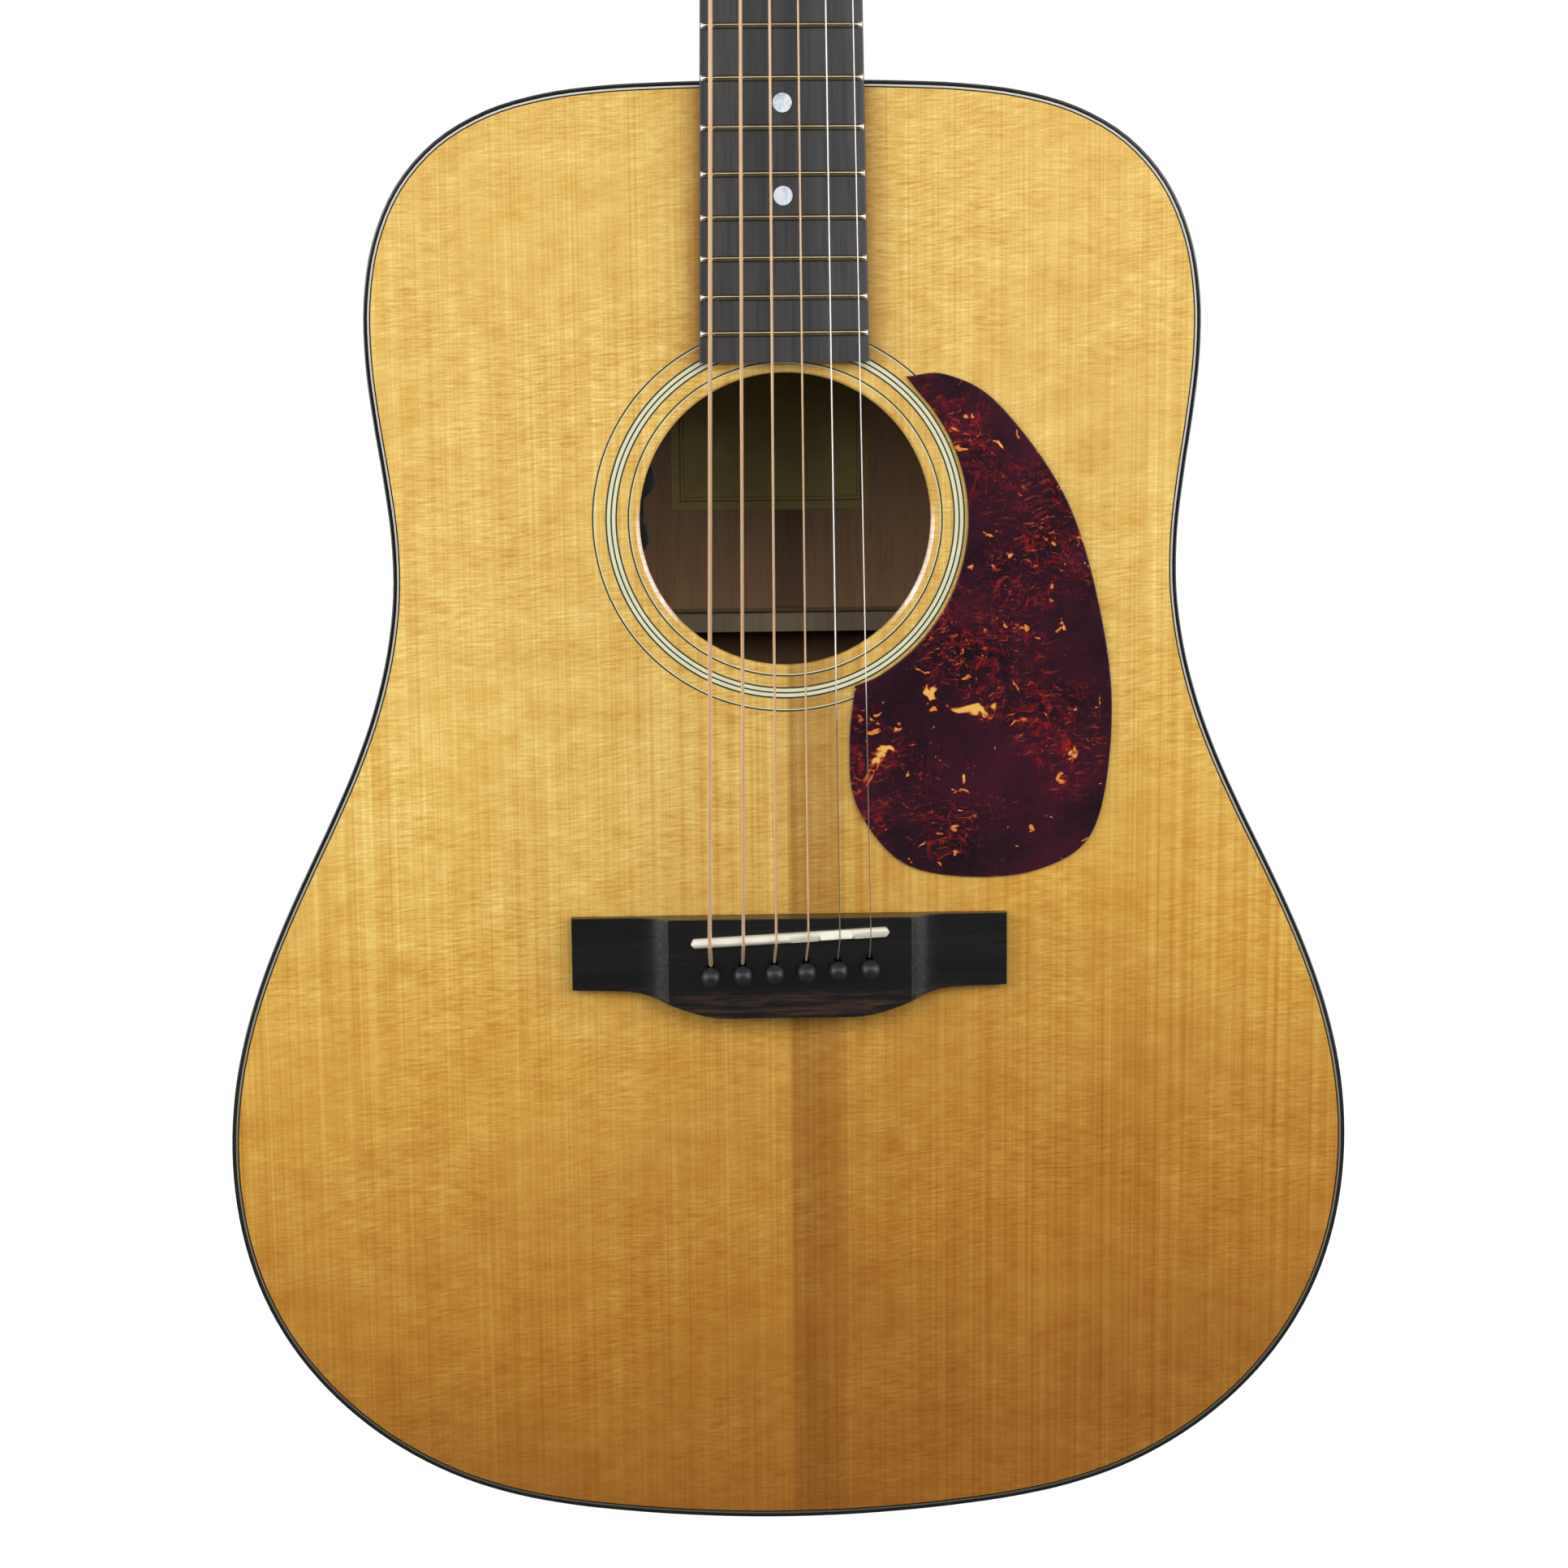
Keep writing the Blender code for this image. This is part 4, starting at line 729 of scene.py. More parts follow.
def streaked_wood(name, dark, light, roughness, coat=0.0, pores=0.5, bare=None):
    """Hardwood with streaks and fine pores running up the body."""
    shade = Shade(name, roughness, coat=coat, coat_roughness=0.15)
    streaks = shade.noise((70, 70, 2.5), detail=4, roughness=0.62, distortion=0.6)
    bands = shade.noise((16, 16, 1.2), distortion=0.8)
    grain = shade.noise((900, 900, 26), roughness=0.6)
    pore = shade.ramp(grain, [(0.36, 1.0), (0.46, 0.0)])
    wood = shade.ramp(streaks, [(0.28, dark), (0.50, around(light, 0.72)), (0.74, light)])
    wood = shade.mix(shade.ramp(bands, [(0.35, 0.0), (0.65, 0.55)]), wood, around(dark, 0.8))
    wood = shade.mix(shade.times(pore, pores), wood, around(dark, 0.35))
    if bare:
        wood = shade.mix(facing_in(shade), wood, bare_wood(shade, bare, streaks, pore))
    shade.finish(wood, (grain, roughness - 0.06, roughness + 0.08), (grain, 0.10, 0.0002))


def facing_in(shade):
    """1 on the faces that look forwards, into the body."""
    normal = shade.node("ShaderNodeTexCoord", {}, "Normal")
    facing = shade.node("ShaderNodeSeparateXYZ", {0: normal}, "Y")
    return shade.calc("LESS_THAN", facing, -0.5)


def bare_wood(shade, bare, streaks, pore):
    """Pale wood without finish, with painted shade darkening it below the brace, towards the tail."""
    pale = shade.cloudy(streaks, around(bare, 0.85), around(bare, 1.15))
    pale = shade.mix(shade.times(pore, 0.35), pale, around(bare, 0.6))
    height = shade.axes()["Z"]
    # Painted shade: the wood is painted darker below these heights.
    return shade.mix(shade.mapped(height, *BARE_PAINTED_SHADE), around(bare, 0.28), pale)


def ebony_finish(name, base, streak, roughness, along, belly=None):
    """Near-black ebony with soft streaks; browner below the height of the bridge's belly."""
    shade = Shade(name, roughness, specular=0.6)
    coarse, fine = ((3, 60, 60), (30, 900, 900)) if along == "x" else ((60, 60, 3), (900, 900, 30))
    streaks = shade.noise(coarse, detail=4, roughness=0.65, distortion=0.4)
    pores = shade.noise(fine, roughness=0.6)
    wood = shade.ramp(streaks, [(0.38, base), (0.62, streak), (0.75, base)])
    wood = shade.mix(shade.ramp(pores, [(0.35, 0.5), (0.52, 0.0)]), wood, around(base, 0.4))
    if belly is not None:
        brown = shade.noise((45, 400, 700), detail=4, roughness=0.65)
        below = shade.calc("SUBTRACT", belly, shade.axes()["Z"])
        share = shade.times(
            shade.ramp(brown, [(0.46, 0.0), (0.66, 0.8)]), shade.ramp(below, [(0.0, 0.0), (0.004, 1.0)]),
        )
        wood = shade.mix(share, wood, srgb(74, 50, 36))
    shade.finish(wood, (pores, roughness - 0.08, roughness + 0.10), (pores, 0.12, 0.00015))


TORTOISE_BASE = [
    (0.32, srgb(20, 8, 18)), (0.46, srgb(36, 12, 25)), (0.60, srgb(52, 14, 30)),
    (0.74, srgb(66, 16, 31)),
]
# Streaks: scale, turn, colour, and the noise where they start and are full.
TORTOISE_FEATHERS = (
    ((150, 150, 480), 0.7, srgb(108, 18, 28), 0.52, 0.64),
    ((520, 520, 170), -0.4, srgb(150, 28, 26), 0.56, 0.67),
    ((220, 220, 640), 1.2, srgb(196, 82, 40), 0.59, 0.68),
)
# Flecks: scale, shift, the noise where they start, and the colour of their middles.
TORTOISE_FLECKS = (
    ((190, 190, 230), 1.3, 0.680, srgb(210, 134, 62)), ((58, 58, 66), 5.1, 0.660, srgb(228, 176, 88)),
)


def tortoise_finish():
    """Dark red celluloid: feathery red streaks in clusters, amber flecks with orange rims."""
    shade = Shade("tortoise_red", 0.30, coat=0.15, coat_roughness=0.12, specular=0.25)
    warp = shade.span(shade.noise(30, detail=3), -0.010, 0.010)
    push = shade.node("ShaderNodeVectorMath", {0: shade.place, 1: warp}, operation="ADD")
    clouds = shade.noise(30, detail=4, roughness=0.6, vector=push)
    base = shade.ramp(clouds, TORTOISE_BASE)
    clusters = shade.noise(30, detail=3, shift=(3.1, 0, 1.7))
    gate = shade.ramp(clusters, [(0.44, 0.05), (0.62, 1.0)])
    for scale, turn, color, low, high in TORTOISE_FEATHERS:
        feather = shade.noise(
            scale, detail=4, roughness=0.68, distortion=0.9, turn=turn, vector=push,
        )
        share = shade.times(shade.ramp(feather, [(low, 0.0), (high, 0.92)]), gate)
        base = shade.mix(share, base, color)
    for scale, shift, start, inner in TORTOISE_FLECKS:
        flecks = shade.noise(
            scale, detail=3, roughness=0.6, distortion=0.7, turn=-0.5, shift=(shift, 0, 4.2),
            vector=push,
        )
        color = shade.ramp(flecks, [(start, srgb(170, 66, 30)), (start + 0.022, inner)])
        base = shade.mix(shade.ramp(flecks, [(start - 0.012, 0.0), (start, 1.0)]), base, color)
    shade.finish(base, (clouds, 0.24, 0.36), (clouds, 0.05, 0.0002))


def plain_finish(name, base, roughness, metallic=0.0, coat=0.0, spread=0.10, size=120, bumpy=0.05,
                 specular=0.5):
    """Plastic, bone or metal: one colour with soft clouds and fine wear in its gloss."""
    shade = Shade(name, roughness, metallic=metallic, coat=coat, specular=specular)
    clouds = shade.clouds(size)
    color = shade.cloudy(clouds, around(base, 1 - spread), around(base, 1 + spread))
    gloss = (clouds, max(0.03, roughness - 0.07), roughness + 0.07)
    shade.finish(color, gloss, (shade.noise(size * 12), bumpy, 0.0001))


def wound_finish(name, base, pitch):
    """A wrapped string: fine turns of wire round it."""
    shade = Shade(name, 0.38, metallic=0.7)
    phase = shade.times(shade.axes()["Z"], 2 * math.pi / pitch)
    turns = shade.span(shade.calc("SINE", phase), 0.0, 1.0)
    tint = shade.cloudy(shade.noise(60, detail=3), around(base, 0.90), around(base, 1.06))
    color = shade.mix(shade.ramp(turns, [(0.0, 0.35), (0.35, 0.0)]), tint, around(base, 0.45))
    shade.finish(color, bump=(turns, 0.35, 0.00006))


def painted_sheen_finish(name, bright, dull, split):
    """Plain steel wire with painted sheen: bright above the soundhole, painted darker below it."""
    shade = Shade(name, 0.40, specular=0.9)
    clouds = shade.noise(60, detail=3)
    low = shade.cloudy(clouds, around(dull, 0.9), around(dull, 1.1))
    high = shade.cloudy(clouds, around(bright, 0.96), bright)
    # Painted sheen: bright above the split, painted darker below it.
    above = shade.mapped(shade.axes()["Z"], split - 0.012, split + 0.012)
    shade.finish(shade.mix(above, low, high), (clouds, 0.36, 0.44))


def fret_finish():
    """Nickel fret wire: dull on the crown, with a painted highlight on the ends."""
    shade = Shade("fret_nickel", 0.26, metallic=1.0)
    x, _, z = shade.axes()
    clouds = shade.clouds()
    crown = shade.cloudy(clouds, srgb(158, 144, 114), srgb(182, 168, 138))
    # Painted highlight on the fret's ends.
    end = shade.calc("GREATER_THAN", beyond_board(shade, x, z), -FRET_PAINTED_GLINT_END)
    shade.finish(shade.mix(end, crown, srgb(240, 236, 226)), (clouds, 0.10, 0.18))


def post_finish():
    """A nickel post with a brass gear behind the headstock."""
    shade = Shade("tuner_post_metal", 0.26, metallic=1.0)
    outward = Vector(POST_JOINTS[0]["axis"])
    height = shade.node(
        "ShaderNodeVectorMath", {0: shade.place, 1: outward}, "Value", operation="DOT_PRODUCT",
    )
    split = Vector(POST_JOINTS[0]["pos_m"]).dot(outward) - GEAR_DEPTH
    clouds = shade.clouds()
    nickel = shade.cloudy(clouds, srgb(168, 166, 160), srgb(186, 184, 178))
    brass = shade.cloudy(clouds, srgb(178, 142, 74), srgb(204, 168, 98))
    color = shade.mix(shade.calc("LESS_THAN", height, split), nickel, brass)
    shade.finish(color, (clouds, 0.20, 0.32))


def purfling_finish():
    """The top's white line: pale at the waist and above, darker and greyer towards the tail."""
    shade = Shade("line_front", 0.35)
    # Darker and greyer towards the tail.
    tail_toned = shade.ramp(shade.times(shade.axes()["Z"], 2.0), [
        (0.0, srgb(80, 80, 68)), (0.10, srgb(92, 88, 72)), (0.30, srgb(128, 118, 98)),
        (0.62, srgb(196, 190, 174)), (1.0, srgb(214, 208, 196)),
    ])
    shade.finish(shade.mix(shade.span(shade.clouds(), 0.0, 0.2), tail_toned, srgb(90, 84, 66)))


def pearl_finish():
    """Mother of pearl: soft bluish and pinkish bands."""
    shade = Shade("pearl", 0.22, coat=0.4, specular=0.6)
    swirl = shade.noise((260, 260, 110), detail=3, distortion=2.2)
    bands = shade.ramp(swirl, [
        (0.30, srgb(150, 172, 196)), (0.45, srgb(206, 218, 232)), (0.58, srgb(234, 236, 240)),
        (0.72, srgb(196, 204, 220)),
    ])
    shade.finish(bands, (swirl, 0.16, 0.30))


def label_finish():
    """Aged paper with a double border and no lettering, in the shade of the top's upper part."""
    shade = Shade("label_paper", 0.75, specular=0.2)
    x, _, z = shade.axes()
    stains = shade.noise(40, detail=4, roughness=0.65)
    paper = shade.cloudy(stains, srgb(176, 160, 98), srgb(204, 190, 128))
    beyond = []
    for place, (low, high) in ((x, LABEL_X), (z, LABEL_Z)):
        off = shade.calc("ABSOLUTE", shade.calc("SUBTRACT", place, (low + high) / 2))
        beyond.append(shade.calc("SUBTRACT", off, (high - low) / 2))
    edge = shade.calc("MAXIMUM", *beyond)
    for distance, width in LABEL_BORDERS:
        off = shade.calc("ABSOLUTE", shade.calc("ADD", edge, distance))
        line = shade.calc("LESS_THAN", off, width)
        paper = shade.mix(shade.times(line, 0.6), paper, srgb(78, 68, 36))
    low, high = LABEL_Z
    shaded = shade.mapped(z, low + 0.35 * (high - low), low + 0.85 * (high - low))
    dark = shade.mix(1.0, paper, (0.28, 0.25, 0.22, 1.0), "MULTIPLY")
    shade.finish(shade.mix(shaded, paper, dark), bump=(shade.noise(900), 0.10, 0.0002))


# ---- Camera, light and floor -------------------------------------------------------------
def make_camera():
    """Level with the soundhole, slightly left of the middle, looking a little down."""
    ahead = Vector((
        math.sin(CAMERA_YAW) * math.cos(CAMERA_PITCH),
        math.cos(CAMERA_YAW) * math.cos(CAMERA_PITCH),
        -math.sin(CAMERA_PITCH),
    ))
    level = Vector((math.cos(CAMERA_YAW), -math.sin(CAMERA_YAW), 0))
    upright = level.cross(ahead)
    right = math.cos(CAMERA_ROLL) * level + math.sin(CAMERA_ROLL) * upright
    up = math.cos(CAMERA_ROLL) * upright - math.sin(CAMERA_ROLL) * level
    data = bpy.data.cameras.new("camera")
    data.lens = CAMERA_LENS
    data.sensor_width = 36
    data.clip_start = 0.05
    data.clip_end = 60
    camera = bpy.data.objects.new("camera", data)
    matrix = Matrix((right, up, -ahead)).transposed().to_4x4()
    matrix.translation = CAMERA_PLACE
    camera.matrix_world = matrix
    bpy.context.scene.collection.objects.link(camera)
    bpy.context.scene.camera = camera


def make_light(name, place, target, size, watts, tint):
    data = bpy.data.lights.new(name, "AREA")
    data.shape = "RECTANGLE"
    data.size, data.size_y = size
    data.energy = watts
    data.color = tint
    light = bpy.data.objects.new(name, data)
    light.location = place
    light.rotation_euler = (Vector(target) - Vector(place)).to_track_quat("-Z", "Y").to_euler()
    bpy.context.scene.collection.objects.link(light)


def make_world():
    """White surroundings: bright behind the guitar, and dim in front of it."""
    world = bpy.data.worlds.new("studio")
    bpy.context.scene.world = world
    world.use_nodes = True
    tree = Tree(world.node_tree)
    direction = tree.node("ShaderNodeTexCoord", {}, "Generated")
    depth = tree.node("ShaderNodeSeparateXYZ", {0: direction}, "Y")
    behind = tree.mapped(depth, *BACKDROP_EDGE, FRONT_LIGHT, BACKDROP_LIGHT)
    seen = tree.node("ShaderNodeLightPath", {}, "Is Camera Ray")
    background = world.node_tree.nodes["Background"]
    tree.feed(WHITE, background.inputs["Color"])
    tree.feed(tree.calc("MAXIMUM", seen, behind), background.inputs["Strength"])
    bpy.context.scene.view_settings.view_transform = "Standard"


def make_floor():
    reach = FLOOR_REACH
    corners = [(-reach, -reach, 0), (reach, -reach, 0), (reach, reach, 0), (-reach, reach, 0)]
    mesh = mesh_from(corners, [(0, 1, 2, 3)])
    floor = bpy.data.objects.new("floor", mesh)
    floor.location.z = cad_low.z - FLOOR_GAP
    bpy.context.scene.collection.objects.link(floor)
    shade = Shade("floor_pale", 0.85, specular=0.1)
    seen = shade.node("ShaderNodeLightPath", {}, "Is Camera Ray")
    shade.feed(WHITE, shade.inputs["Emission Color"])
    shade.feed(shade.span(seen, 0.0, FLOOR_GLOW), shade.inputs["Emission Strength"])
    dust = shade.cloudy(shade.noise(3, detail=3), (0.13, 0.13, 0.13, 1), (0.16, 0.16, 0.16, 1))
    shade.finish(dust)
    mesh.materials.append(FINISHES["floor_pale"])


# ---- Body --------------------------------------------------------------------------------
def ring_profile(start, width, y_front, y_rear, rounding=0.0):
    """The (inset, y) section of a strip let in round the body, its outer corner rounded."""
    outer = [(start + inward, y_front + down) for inward, down in corner(rounding, 4)]
    return [(start, y_rear), *outer, (start + width, y_front), (start + width, y_rear)]


def mirrored(profile):
    return [(inward, -y) for inward, y in profile]


def make_edges():
    """Bindings front and back, and the lines inside them."""
    front = ring_profile(0, BINDING_WIDTH, TOP_Y, BINDING_DEPTH, BINDING_ROUNDING)
    piece("binding_front", sweep_rim(front), "binding_black", "binding", replaces="top_binding")
    start = BINDING_WIDTH
    for name, width, finish in (
        ("top_line_white", WHITE_LINE_WIDTH, "line_front"),
        ("top_line_black", BLACK_LINE_WIDTH, "line_black"),
    ):
        profile = ring_profile(start, width, TOP_Y - PROUD, TOP_Y + LINE_DEPTH)
        piece(name, sweep_rim(profile), finish, "binding")
        start += width
    rear = mirrored(ring_profile(0, SIDE_THICKNESS, 0.0, BINDING_HEIGHT, BINDING_ROUNDING))
    piece("binding_back", sweep_rim(rear, back_depth), "binding_black", "binding",
          replaces="back_binding")
    line = mirrored(ring_profile(SIDE_THICKNESS, WHITE_LINE_WIDTH, -PROUD, LINE_DEPTH))
    piece("back_line_white", sweep_rim(line, back_depth), "line_white", "binding")


def make_sides():
    """Two bent sides between the bindings, and the dark wedge over their seam at the tail."""
    half = len(OUTLINE) // 2
    inner = inset(OUTLINE, SIDE_THICKNESS)
    for name, order in (
        ("side_treble", range(half + 1)), ("side_bass", range(half, 2 * half + 1)),
    ):
        rings = []
        for i in order:
            x, z = OUTLINE[i % (2 * half)]
            u, w = inner[i % (2 * half)]
            rings.append([
                (x, BINDING_DEPTH, z), (x, back_depth(x, z) - BINDING_HEIGHT, z),
                (u, back_depth(u, w) - BINDING_HEIGHT, w), (u, BINDING_DEPTH, w),
            ])
        piece("wood_" + name, loft(rings), "rosewood_bent", "rosewood", replaces=name)
    tail = OUTLINE[half][1]
    outer, deep = tail - 3 * PROUD, tail + TAIL_WEDGE_DEPTH
    rings = [
        [(-wide, y, outer), (wide, y, outer), (wide, y, deep), (-wide, y, deep)]
        for y, wide in (
            (BINDING_DEPTH, TAIL_WEDGE_HALF_FRONT),
            (back_depth(0, tail) - BINDING_HEIGHT, TAIL_WEDGE_HALF_REAR),
        )
    ]
    piece("tail_wedge", loft(rings), "binding_black", "binding")


def soundboard_mesh():
    """A flat plate whose hole has a rounded front edge."""
    rear = TOP_Y + SOUNDBOARD_THICKNESS
    edge = inset(OUTLINE, BINDING_WIDTH + WHITE_LINE_WIDTH + BLACK_LINE_WIDTH / 2)
    turns = 2 * math.pi * np.arange(1, 129) / 128
    hole = SOUNDHOLE + SOUNDHOLE_RADIUS * np.stack([np.cos(turns), np.sin(turns)], axis=1)
    shell = Shell()
    bases = [shell.level(hole, rear)]
    front_hole = hole
    for inward, down in corner(SOUNDHOLE_ROUNDING, 5):
        front_hole = SOUNDHOLE + (hole - SOUNDHOLE) * (1 + inward / SOUNDHOLE_RADIUS)
        bases.append(shell.level(front_hole, TOP_Y + down))
    shell.skin(bases, len(hole))
    shell.skin([shell.level(edge, rear), shell.level(edge, TOP_Y)], len(edge))
    shell.fill([edge, front_hole], TOP_Y)
    shell.fill([edge, hole], rear)
    return shell.mesh()


def make_top():
    """The soundboard, and the rosette's rings let into it."""
    piece("spruce_top", soundboard_mesh(), "spruce_amber", "spruce_top", replaces="soundboard")
    for number, (inner, outer, finish) in enumerate(ROSETTE_RINGS, 1):
        section = [(outer, ROSETTE_DEPTH), (outer, -PROUD), (inner, -PROUD), (inner, ROSETTE_DEPTH)]
        rings = [
            [(SOUNDHOLE[0] + r * math.cos(t), TOP_Y + y, SOUNDHOLE[1] + r * math.sin(t))
             for r, y in section]
            for t in np.linspace(0, 2 * math.pi, 180, endpoint=False)
        ]
        piece(f"rosette_line_{number}", loft(rings, closed=True), "rosette_" + finish, "rosette",
              replaces="rosette_ring" if number == ROSETTE_MAIN_RING else None)


def make_back():
    """The arched back plate, with its centre strip and inner seam strip."""
    edge = inset(OUTLINE, SIDE_THICKNESS + WHITE_LINE_WIDTH / 2)
    centre = np.array((0.0, BODY_BOTTOM + BACK_CENTRE * (BODY_TOP - BODY_BOTTOM)))
    shell = Shell()
    rims = []
    for side in (0.0, -BACK_THICKNESS):
        bases = [
            shell.ring([
                (x, back_depth(x, z) + side, z) for x, z in centre + (edge - centre) * share
            ])
            for share in np.linspace(1.0, 0.04, 13)
        ]
        shell.skin(bases, len(edge))
        shell.cap(bases[-1], len(edge))
        rims.append(bases[0])
    shell.skin(rims, len(edge))
    piece("wood_back", shell.mesh(), "rosewood_flat", "rosewood", replaces="back_plate")

    ends = BODY_BOTTOM + BACK_STRIP_GAP, BODY_TOP - BACK_STRIP_GAP
    inside = -BACK_THICKNESS
    for name, middle, half, lift, thick, reach, finish, slot in (
        ("back_strip_black", 0, 0.0032, PROUD, 0.001, ends, "line_black", "binding"),
        ("back_strip_white", 0, 0.0018, 2 * PROUD, 0.001, ends, "line_white", "binding"),
        ("back_seam_strip", SEAM_STRIP_MIDDLE, 0.0061, inside, 0.0012, SEAM_STRIP_ENDS,
         "mahogany_bare", "mahogany"),
    ):
        left, right = middle - half, middle + half
        rings = []
        for z in np.linspace(*reach, 40):
            y = back_depth(0, z) + lift
            rings.append([(left, y - thick, z), (right, y - thick, z), (right, y, z), (left, y, z)])
        piece(name, loft(rings), finish, slot)


def make_label():
    """A plain paper label glued inside the back, seen through the soundhole."""
    rings = []
    for z in np.linspace(*LABEL_Z, 14):
        back = [(x, back_depth(x, z) - BACK_THICKNESS, z) for x in np.linspace(*LABEL_X, 14)]
        rings.append(back + [(x, y - LABEL_THICKNESS, z) for x, y, z in reversed(back)])
    piece("label", loft(rings), "label_paper", "rosette")


def make_pickguard():
    low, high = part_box("pickguard")
    loop = refined(face_loop("pickguard", low.y), 3)
    mesh = slab(loop, low.y, high.y, PICKGUARD_ROUNDING)
    piece("pickguard_sheet", mesh, "tortoise_red", "tortoise", replaces="pickguard")


# ---- Bridge, saddle and pins -------------------------------------------------------------
def bridge_height(x):
    """The bridge's height at x, its ridges a little worn."""
    reach = np.linspace(-BRIDGE_RIDGE_SOFTNESS, BRIDGE_RIDGE_SOFTNESS, 9)
    return float(np.mean([scooped_height(x + step) for step in reach]))


def scooped_height(x):
    """A raised middle, scooped down to thin wings."""
    radius = BRIDGE_SCOOP_RADIUS
    full = TOP_Y - BRIDGE_LOW.y
    reach = math.sqrt(radius**2 - (radius - full + BRIDGE_WING_HEIGHT) ** 2)
    beyond = abs(x) - BRIDGE_CENTRE_HALF
    if beyond <= 0:
        return full
    if beyond >= reach:
        return BRIDGE_WING_HEIGHT
    return BRIDGE_WING_HEIGHT + radius - math.sqrt(radius**2 - (reach - beyond) ** 2)


def crossings(loop, x):
    """The lowest and highest z where a closed (x, z) loop crosses x."""
    hits = []
    for (x0, z0), (x1, z1) in zip(loop, np.roll(loop, -1, 0)):
        if (x0 - x) * (x1 - x) <= 0 and abs(x1 - x0) > 1e-9:
            hits.append(z0 + (z1 - z0) * (x - x0) / (x1 - x0))
    return min(hits), max(hits)


def bridge_columns(half):
    """The places along the bridge of its sections, closer at its ends and its ridges."""
    ends = {round(half - down, 6) for _, down in corner(BRIDGE_ROUNDING, 6)}
    ridges = BRIDGE_CENTRE_HALF + np.linspace(-1.2, 1.2, 9) * BRIDGE_RIDGE_SOFTNESS
    first = -half + BRIDGE_ROUNDING + BRIDGE_STEP
    middle = np.arange(first, half - BRIDGE_ROUNDING - BRIDGE_STEP / 2, BRIDGE_STEP)
    right = [*ends, *ridges]
    return sorted([*middle, *right, *(-x for x in right)])


def make_bridge():
    # The front face is cut by the scoops, so the outline comes from the flat base.
    outline = face_loop("bridge", BRIDGE_HIGH.y)
    half = BRIDGE_HIGH.x - 0.00001
    rim = BRIDGE_ROUNDING
    square = half - BRIDGE_SQUARE_END
    rings = []
    for x in bridge_columns(half):
        low, high = crossings(outline, max(-square, min(square, x)))
        inside = max(0.0, rim - half + abs(x))
        shrink = rim - math.sqrt(max(0.0, rim**2 - inside**2))
        low, high = low + shrink * 0.2, high - shrink * 0.2
        face = TOP_Y - bridge_height(x) + shrink
        rings.append([
            (x, BRIDGE_HIGH.y, low),
            *((x, face + down, z) for z, down in rounded_across(low, high, rim, 5, 8)),
            (x, BRIDGE_HIGH.y, high),
        ])
    mesh = carved(loft(rings), [slot_cutter(PIN_MIDDLES[number]) for number in NUMBERS])
    piece("bridge_ebony", mesh, "ebony_across", "ebony", replaces="bridge", sharp=50)


def slot_cutter(pin):
    """A string slot: it starts under the pin and ends round, towards the neck."""
    x, z, half = pin.x, pin.z, PIN_SLOT_HALF
    end = z + PIN_SLOT_LENGTH - half
    loop = [(x + half * math.cos(t), end + half * math.sin(t)) for t in np.linspace(0, math.pi, 9)]
    loop += [(x - half, z - 0.001), (x + half, z - 0.001)]
    return slab(np.array(loop[::-1]), BRIDGE_LOW.y - 0.001, BRIDGE_LOW.y + PIN_SLOT_DEPTH)


def saddle_section(u, half):
    """(along, y, across) round the saddle at u along it: crowned, with the crest set to a side."""
    end = max(0.0, abs(u) - (half - SADDLE_WIDTH / 2))
    thick = math.sqrt(max(1e-9, (SADDLE_WIDTH / 2) ** 2 - end**2))
    crest = next(place for low, high, place in CREST_STEPS if low <= u < high)
    crest = max(-thick * 0.7, min(thick * 0.7, crest))
    top = SADDLE_LOW.y + SADDLE_ARCH * (u / half) ** 2
    crown = [
        (u, top + SADDLE_CROWN * abs(share) ** 1.6,
         crest + (math.copysign(thick, share) - crest) * abs(share))
        for share in np.linspace(-1, 1, 9)
    ]
    return [(u, SADDLE_HIGH.y, -thick), *crown, (u, SADDLE_HIGH.y, thick)]


def make_saddle():
    """A bone saddle with round ends, a crowned top and a crest set back for the B string."""
    run = SADDLE_HIGH.x - SADDLE_LOW.x - SADDLE_WIDTH
    rise = SADDLE_HIGH.z - SADDLE_LOW.z - SADDLE_WIDTH
    half = (math.hypot(run, rise) + SADDLE_WIDTH) / 2
    place = Matrix.Rotation(-math.atan2(rise, run), 4, "Y")
    place.translation = Vector((1, 0, 1)) * middle_of("saddle")
    rings = [saddle_section(u, half) for u in np.linspace(-half + 1e-5, half - 1e-5, 100)]
    mesh = loft(rings)
    mesh.transform(place)
    piece("saddle_bone", mesh, "bone_ivory", "bone", replaces="saddle", sharp=50)


def make_pins():
    """Ball-head bridge pins: a round head, a waist, a collar and the real tapered shaft."""
    for number in NUMBERS:
        low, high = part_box(f"bridge_pin_{number}")
        length = high.y - BRIDGE_LOW.y
        ball = BRIDGE_LOW.y - low.y - PIN_BALL_RADIUS
        head = [
            (max(0.0, PIN_BALL_RADIUS * math.cos(t)), ball + PIN_BALL_RADIUS * math.sin(t))
            for t in np.radians(np.linspace(90, -38, 19))
        ]
        collar = [(PIN_WAIST_RADIUS, ball - PIN_WAIST_DROP), (PIN_COLLAR_RADIUS, 0.0006)]
        shaft = [
            (PIN_SHAFT_RADIUS, 0.0002), (PIN_SHAFT_RADIUS, -0.004), (PIN_TIP_RADIUS, 0.001 - length),
            (PIN_POINT_RADIUS, -length), (0.0, -length),
        ]
        middle = PIN_MIDDLES[number]
        place = Matrix.Rotation(math.pi / 2, 4, "X")
        place.translation = (middle.x, BRIDGE_LOW.y, middle.z)
        mesh = turned(head + collar + shaft, 32, place)
        piece(f"pin_{number}_ball", mesh, "pin_black", "pin_plastic", body=f"pin_{number}",
              replaces=f"bridge_pin_{number}")


